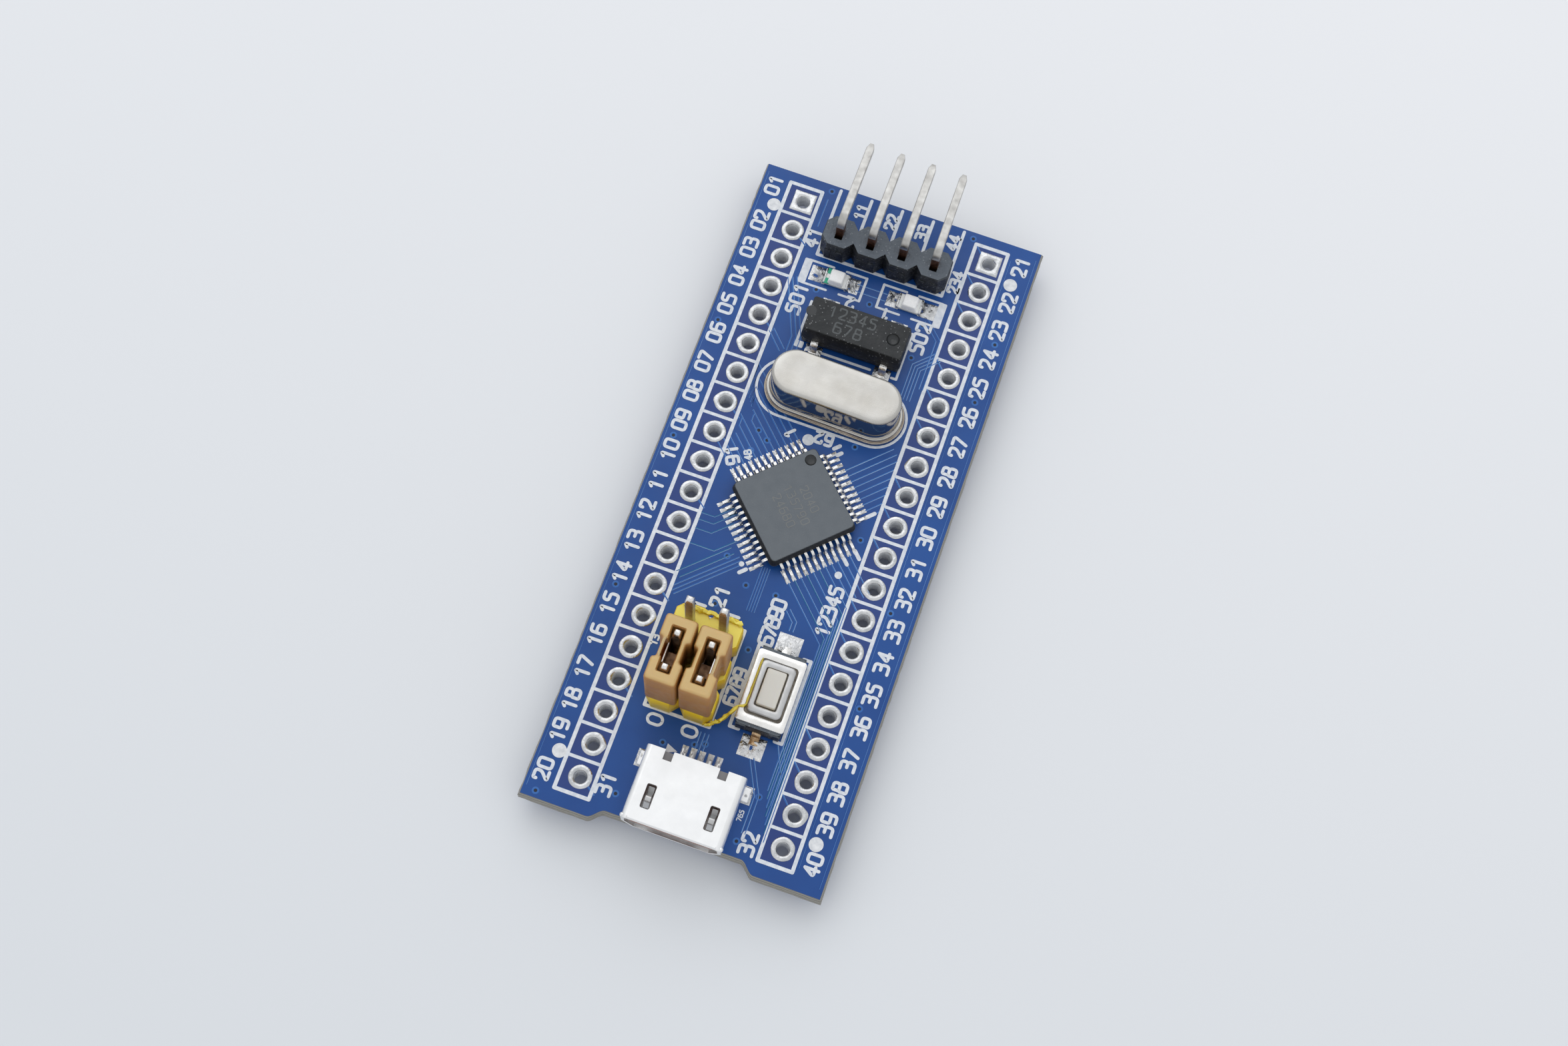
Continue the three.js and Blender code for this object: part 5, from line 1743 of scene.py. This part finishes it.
terminals = Stock()
foot = bent([(2.85, 0.42), (3.12, 0.42), (3.2, 0.1), (3.84, 0.1)], 0.12)
for hand, finish in ((1, 0), (-1, 1)):
    place = button_place @ turned(angle=90 * hand)
    strip(terminals, foot, 0.66, 0.15, finish, place, cut=0.15)
    pad = place @ turned(4.0, angle=90)
    cushion(terminals, 1.84, 1.62, 0.0, 0.13, pad, 2, lean=0.5, seed=hand * 2.3 + 5, steps=14, rough=1.1)
tarnished = metal("tarnished_lead", paint(214, 186, 150), paint(150, 118, 84), (0.25, 0.4), 2.6, 0.02)
terminal_piece = finished(
    "key_terminals", terminals, [lead_tin, tarnished, solder],
    stands_for=["button_terminal_front", "button_terminal_rear"], smooth=50,
)
print("key top at", round(key_top, 2))

# %% [markdown]
# ## The micro socket
#
# The socket's shell is one sheet rolled round into a tapered tube. Its mouth ends in a rounded
# lip with small ears at the upper corners, and two latch windows and two rear notches are
# punched in the top. The tube is made from its front view: an outer and an inner outline swept along the
# socket, with a top plate that carries the windows as real holes. The rounded shoulders run
# down each side to the narrower floor.

# %% Socket outline
USB_X = middle("usb_shell").x
USB_REAR, USB_FRONT = -20.7, -26.2
USB_HALF, USB_H, USB_SHEET = 3.73, 2.6, 0.25
SHOULDER = 0.42


def socket_outline(inset):
    """The shell's front view as (x, z), clockwise from the floor's right end round to its left."""
    half, low, high = USB_HALF - inset, 0.05 + inset, USB_H - inset
    r = SHOULDER - inset * 0.8
    right = [(2.95 - inset * 0.6, low), (half, 1.2 + inset * 0.3), (half, high - r)]
    for step in range(1, 7):
        turn = step / 6 * math.pi / 2
        right.append((half - r + r * math.cos(turn), high - r + r * math.sin(turn)))
    return right


def socket_side(stock, ys, insets, finish=0):
    """The wrap from the floor's middle round the shoulders, for each hand, as closed bands."""
    place = Matrix.Translation((USB_X, 0, TOP))
    for hand in (-1, 1):
        points, faces = [], []
        for y, inset in zip(ys, insets):
            outer, inner = socket_outline(inset), socket_outline(inset + USB_SHEET)
            band = [(0.0, 0.05 + inset)] + outer + inner[::-1] + [(0.0, 0.05 + inset + USB_SHEET)]
            points += [(hand * x, y, z) for x, z in band]
        row = len(points) // len(ys)
        for level in range(len(ys) - 1):
            for step in range(row):
                a, b = level * row + step, level * row + (step + 1) % row
                face = (a, b, b + row, a + row)
                faces.append(face if hand > 0 else face[::-1])
        for first, flip in ((0, hand < 0), (len(points) - row, hand > 0)):
            for step in range(row // 2 - 1):
                face = (first + step, first + row - 1 - step, first + row - 2 - step, first + step + 1)
                faces.append(face[::-1] if flip else face)
        stock.add(points, faces, finish, place)


print("socket outline points:", len(socket_outline(0.0)))

# %% Socket shell
shell = Stock()
mouth = USB_FRONT
socket_side(shell, [USB_REAR, mouth + 0.5, mouth + 0.28, mouth + 0.08, mouth], [0.0, 0.0, 0.02, 0.0, 0.03])
top_half = USB_HALF - SHOULDER + 0.02
NOTCH_X, NOTCH_W, NOTCH_END = 2.03, 0.65, USB_REAR - 0.75
WINDOW_X, WINDOW_Y = 2.35, -24.25
TAB_Y = -21.38
on_board = Matrix.Translation((0, 0, TOP))
top_start = mouth + 0.19
top_loop = [(-top_half, top_start), (top_half, top_start), (top_half, USB_REAR)]
for hand in (1, -1):
    right, left = hand * NOTCH_X + NOTCH_W / 2, hand * NOTCH_X - NOTCH_W / 2
    top_loop += [(right, USB_REAR), (right, NOTCH_END), (left, NOTCH_END), (left, USB_REAR)]
top_loop.append((-top_half, USB_REAR))
windows = [moved(rounded(0.72, 1.8, 0.14, 4), hand * WINDOW_X, WINDOW_Y) for hand in (-1, 1)]
plate(shell, [top_loop] + windows, USB_H - USB_SHEET, USB_H, 0, Matrix.Translation((USB_X, 0, TOP)))
EAR_R = 0.2
ear_turns = (-1.4, -1.0, -0.5, 0, 0.5, 1.0, 1.4)
ball = [(disc(EAR_R * math.cos(turn), 0, 0, 16), EAR_R * math.sin(turn)) for turn in ear_turns]
for hand in (-1, 1):
    x = USB_X + hand * WINDOW_X
    latch = [(-23.42, USB_H - 0.4), (-23.75, USB_H - 0.95), (-24.2, USB_H - 0.36), (-24.5, USB_H - 0.46)]
    tongue = bent(latch + [(-24.85, USB_H - 1.05)], 0.12)
    place = turned(x, 0, TOP, 90)
    # The latch tongues take the darker steel, a painted shade inside the windows.
    strip(shell, tongue, 0.44, 0.12, 3, place)
    ear = Matrix.Translation((USB_X + hand * (USB_HALF - 0.1), mouth + 0.2, TOP + USB_H - 0.32))
    stack(shell, ball, 0, ear)
    block(shell, 0.72, 1.12, 0.0, 0.26, USB_X + hand * 3.85, TAB_Y, 0.12, 0, on_board, 0.06)
    side_x = USB_X + hand * (USB_HALF - 0.12)
    block(shell, 0.24, 1.12, 0.05, 1.4, side_x, TAB_Y, 0.05, 0, on_board)
    tab_pad = turned(USB_X + hand * 4.0, TAB_Y, TOP)
    cushion(shell, 0.75, 1.3, 0.0, 0.2, tab_pad, 1, seed=hand + 8.0, steps=10, rough=0.9)
lip_place = Matrix.Translation((USB_X, mouth, TOP + USB_H))
block(shell, 2 * top_half + 0.1, 0.3, -0.27, 0.0, 0, 0.15, 0.05, 0, lip_place, 0.11)
block(shell, 2 * top_half - 0.5, 0.16, -0.58, -0.25, 0, 0.09, 0.04, 2, lip_place, 0.03)
# The insulator's top is painted grey, a painted reflection where it shows through the shell's rear notches.
insulator_brown = plastic("socket_insulator", paint(150, 106, 92), paint(128, 126, 128), 0.5, 0.0, 0.006, 8.0)
shell_piece = finished(
    "socket_shell", shell, [shell_steel, solder, insulator_brown, steel_painted_shade],
    stands_for=["usb_shell"], soft=0.03, smooth=40,
)
print("shell faces:", len(shell.faces))

# %% Socket contacts and insulator
contacts = Stock()
path = bent([(-20.95, 0.72), (-20.82, 0.72), (-20.7, 0.09), (-19.72, 0.09)], 0.12)
for number in range(1, 6):
    x = middle(f"usb_contact_{number}").x
    place = turned(x, 0, TOP, 90)
    strip(contacts, path, 0.3, 0.13, 0, place)
    blade = [Vector((-24.85, 1.32)), Vector((-24.7, 1.3)), Vector((-22.0, 1.3)), Vector((-20.9, 1.3))]
    strip(contacts, blade, 0.3, 0.12, 1, place)
    pad = turned(x, -20.0, TOP)
    cushion(contacts, 0.46, 1.1, 0.0, 0.26, pad, 2, seed=number * 1.3, steps=8, rough=0.7)
names = [f"usb_contact_{number}" for number in range(1, 6)]
contact_piece = finished(
    "socket_contacts", contacts, [lead_tin, contact_gold, foot_solder], stands_for=names, smooth=50
)

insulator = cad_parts["usb_insulator"]
insulator.data.materials.clear()
insulator.data.materials.append(insulator_brown)
print("contacts:", len(names))

# %% [markdown]
# ## The lamps
#
# A surface lamp is a sliver of white board with metal ends, and a block of clear resin cast
# over a die. Green marks show which end is which. The ends are soldered to pads that reach
# past them on both sides.

# %% Lamps
for number in (1, 2):
    at = middle(f"lamp_base_{number}")
    lens_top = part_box(f"lamp_lens_{number}")[1].z / MM - TOP
    place = turned(at.x, at.y, TOP)
    lamp_base = Stock()
    block(lamp_base, 1.7, 1.22, 0.02, 0.35, 0, 0, 0.05, 0, place)
    for hand in (-1, 1):
        block(lamp_base, 0.2, 1.24, 0.0, 0.38, hand * 0.9, 0, 0.06, 1, place)
        pad_width = 1.35 if (hand < 0) == (number == 1) else 1.05
        pad = place @ turned(hand * (0.78 + pad_width / 2), angle=-90 * hand)
        own = number * 4 + hand
        cushion(lamp_base, 1.3, pad_width, 0.0, 0.24, pad, 1, lean=-0.5, seed=own, steps=12, rough=1.3)
    if number == 1:
        for y in (-0.42, 0.42):
            block(lamp_base, 0.4, 0.46, 0.3, 0.376, -0.68, y, 0.03, 2, place, 0.01)
    else:
        block(lamp_base, 0.4, 0.5, 0.3, 0.4, 0.28, -0.22, 0.03, 2, place, 0.01)
    die = turned(at.x + 0.1, at.y, TOP)
    block(lamp_base, 0.3, 0.3, 0.33, 0.45, 0, 0, 0.02, 3, die, 0.01)
    base_piece = finished(
        f"lamp_board_{number}", lamp_base, [lamp_white, solder, lamp_green, contact_gold],
        stands_for=[f"lamp_base_{number}"], smooth=50,
    )
    lens = Stock()
    stack(lens, shrunk_levels([
        (1.22, 1.16, 0.05, 0.36), (1.2, 1.14, 0.08, 0.42), (1.08, 1.04, 0.1, lens_top - 0.1),
        (1.02, 0.98, 0.12, lens_top - 0.03), (0.9, 0.86, 0.1, lens_top),
    ], 4), 0, place)
    lens_piece = finished(
        f"lamp_cap_{number}", lens, [lens_resin], stands_for=[f"lamp_lens_{number}"], smooth=50
    )
print("lamps made")

# %% [markdown]
# ## Hidden and underside parts
#
# What stays as the frame made it still needs its finish: the fast crystal's blank and leads,
# and the small parts on the board's far side. Each gets softened edges and its own material,
# and metal ends are added to the chip parts.

# %% Kept nodes
def dress(name, finish, soft=0.04):
    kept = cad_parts[name]
    kept.data.materials.clear()
    kept.data.materials.append(finish)
    if soft:
        edge = kept.modifiers.new("soft edges", "BEVEL")
        edge.width = soft * MM
        edge.segments = 2
        edge.limit_method = "ANGLE"
        edge.angle_limit = math.radians(40)


dress("fast_crystal_blank", quartz)
dress("fast_crystal_lead_1", lead_tin)
dress("fast_crystal_lead_2", lead_tin)
dress("regulator_body", mould_resin)
for number in (1, 2, 3):
    dress(f"regulator_lead_{number}", lead_tin, 0.02)
    dress(f"chip_capacitor_{number}", capacitor_tan)
for number in (1, 2, 3, 4):
    dress(f"chip_resistor_{number}", resistor_black, 0.02)
print("kept nodes dressed")

# %% Solder on the underside
under = Stock()


def chip_ends(name):
    """Plated ends and solder for a chip part on the underside."""
    low, high = limits(name)
    upright = high.y - low.y > high.x - low.x
    center = (low + high) / 2
    place = Matrix.Translation((center.x, center.y, 0)) @ Matrix.Rotation(math.pi, 4, "Y")
    if upright:
        place = place @ turned(angle=90)
    tall = -low.z
    for hand in (-1, 1):
        block(under, 0.34, 0.84, 0.0, tall + 0.02, hand * 0.65, 0, 0.08, 0, place, 0.04)
        pad = place @ turned(hand * 0.98, angle=-90 * hand)
        cushion(under, 1.0, 0.8, 0.0, 0.3, pad, 1, lean=-0.6, seed=center.x + hand, steps=8, rough=0.8)


def solder_cone(x, y, pin_r, pad_r, tall):
    """Solder drawn up a pin's tail below the board."""
    rows = [(pad_r, 0.0), (pad_r * 0.97, 0.05), (pad_r * 0.72, 0.14)]
    rows += [(pin_r * 1.6, tall * 0.45), (pin_r * 1.12, tall)]
    outline = [(disc(r, x, y, 20)[::-1], -z) for r, z in rows]
    stack(under, outline, 0)


for number in (1, 2, 3, 4):
    chip_ends(f"chip_resistor_{number}")
for number in (1, 2, 3):
    chip_ends(f"chip_capacitor_{number}")
for x, y in [(x, DEBUG_Y) for x in debug_pins] + boot_spots:
    solder_cone(x, y, 0.4, 0.85, 0.95)
for x, y in can_spots:
    solder_cone(x, y, 0.22, 0.7, 0.7)
for number in (1, 2, 3):
    at = middle(f"regulator_lead_{number}")
    place = Matrix.Translation((at.x, at.y + math.copysign(0.2, at.y - middle("regulator_body").y), 0))
    cushion(under, 0.75, 0.8, 0.0, 0.12, place @ Matrix.Rotation(math.pi, 4, "Y"), 1, seed=number * 2.2)
under_piece = finished("underside_solder", under, [lead_tin, solder], smooth=50)
print("underside faces:", len(under.faces))
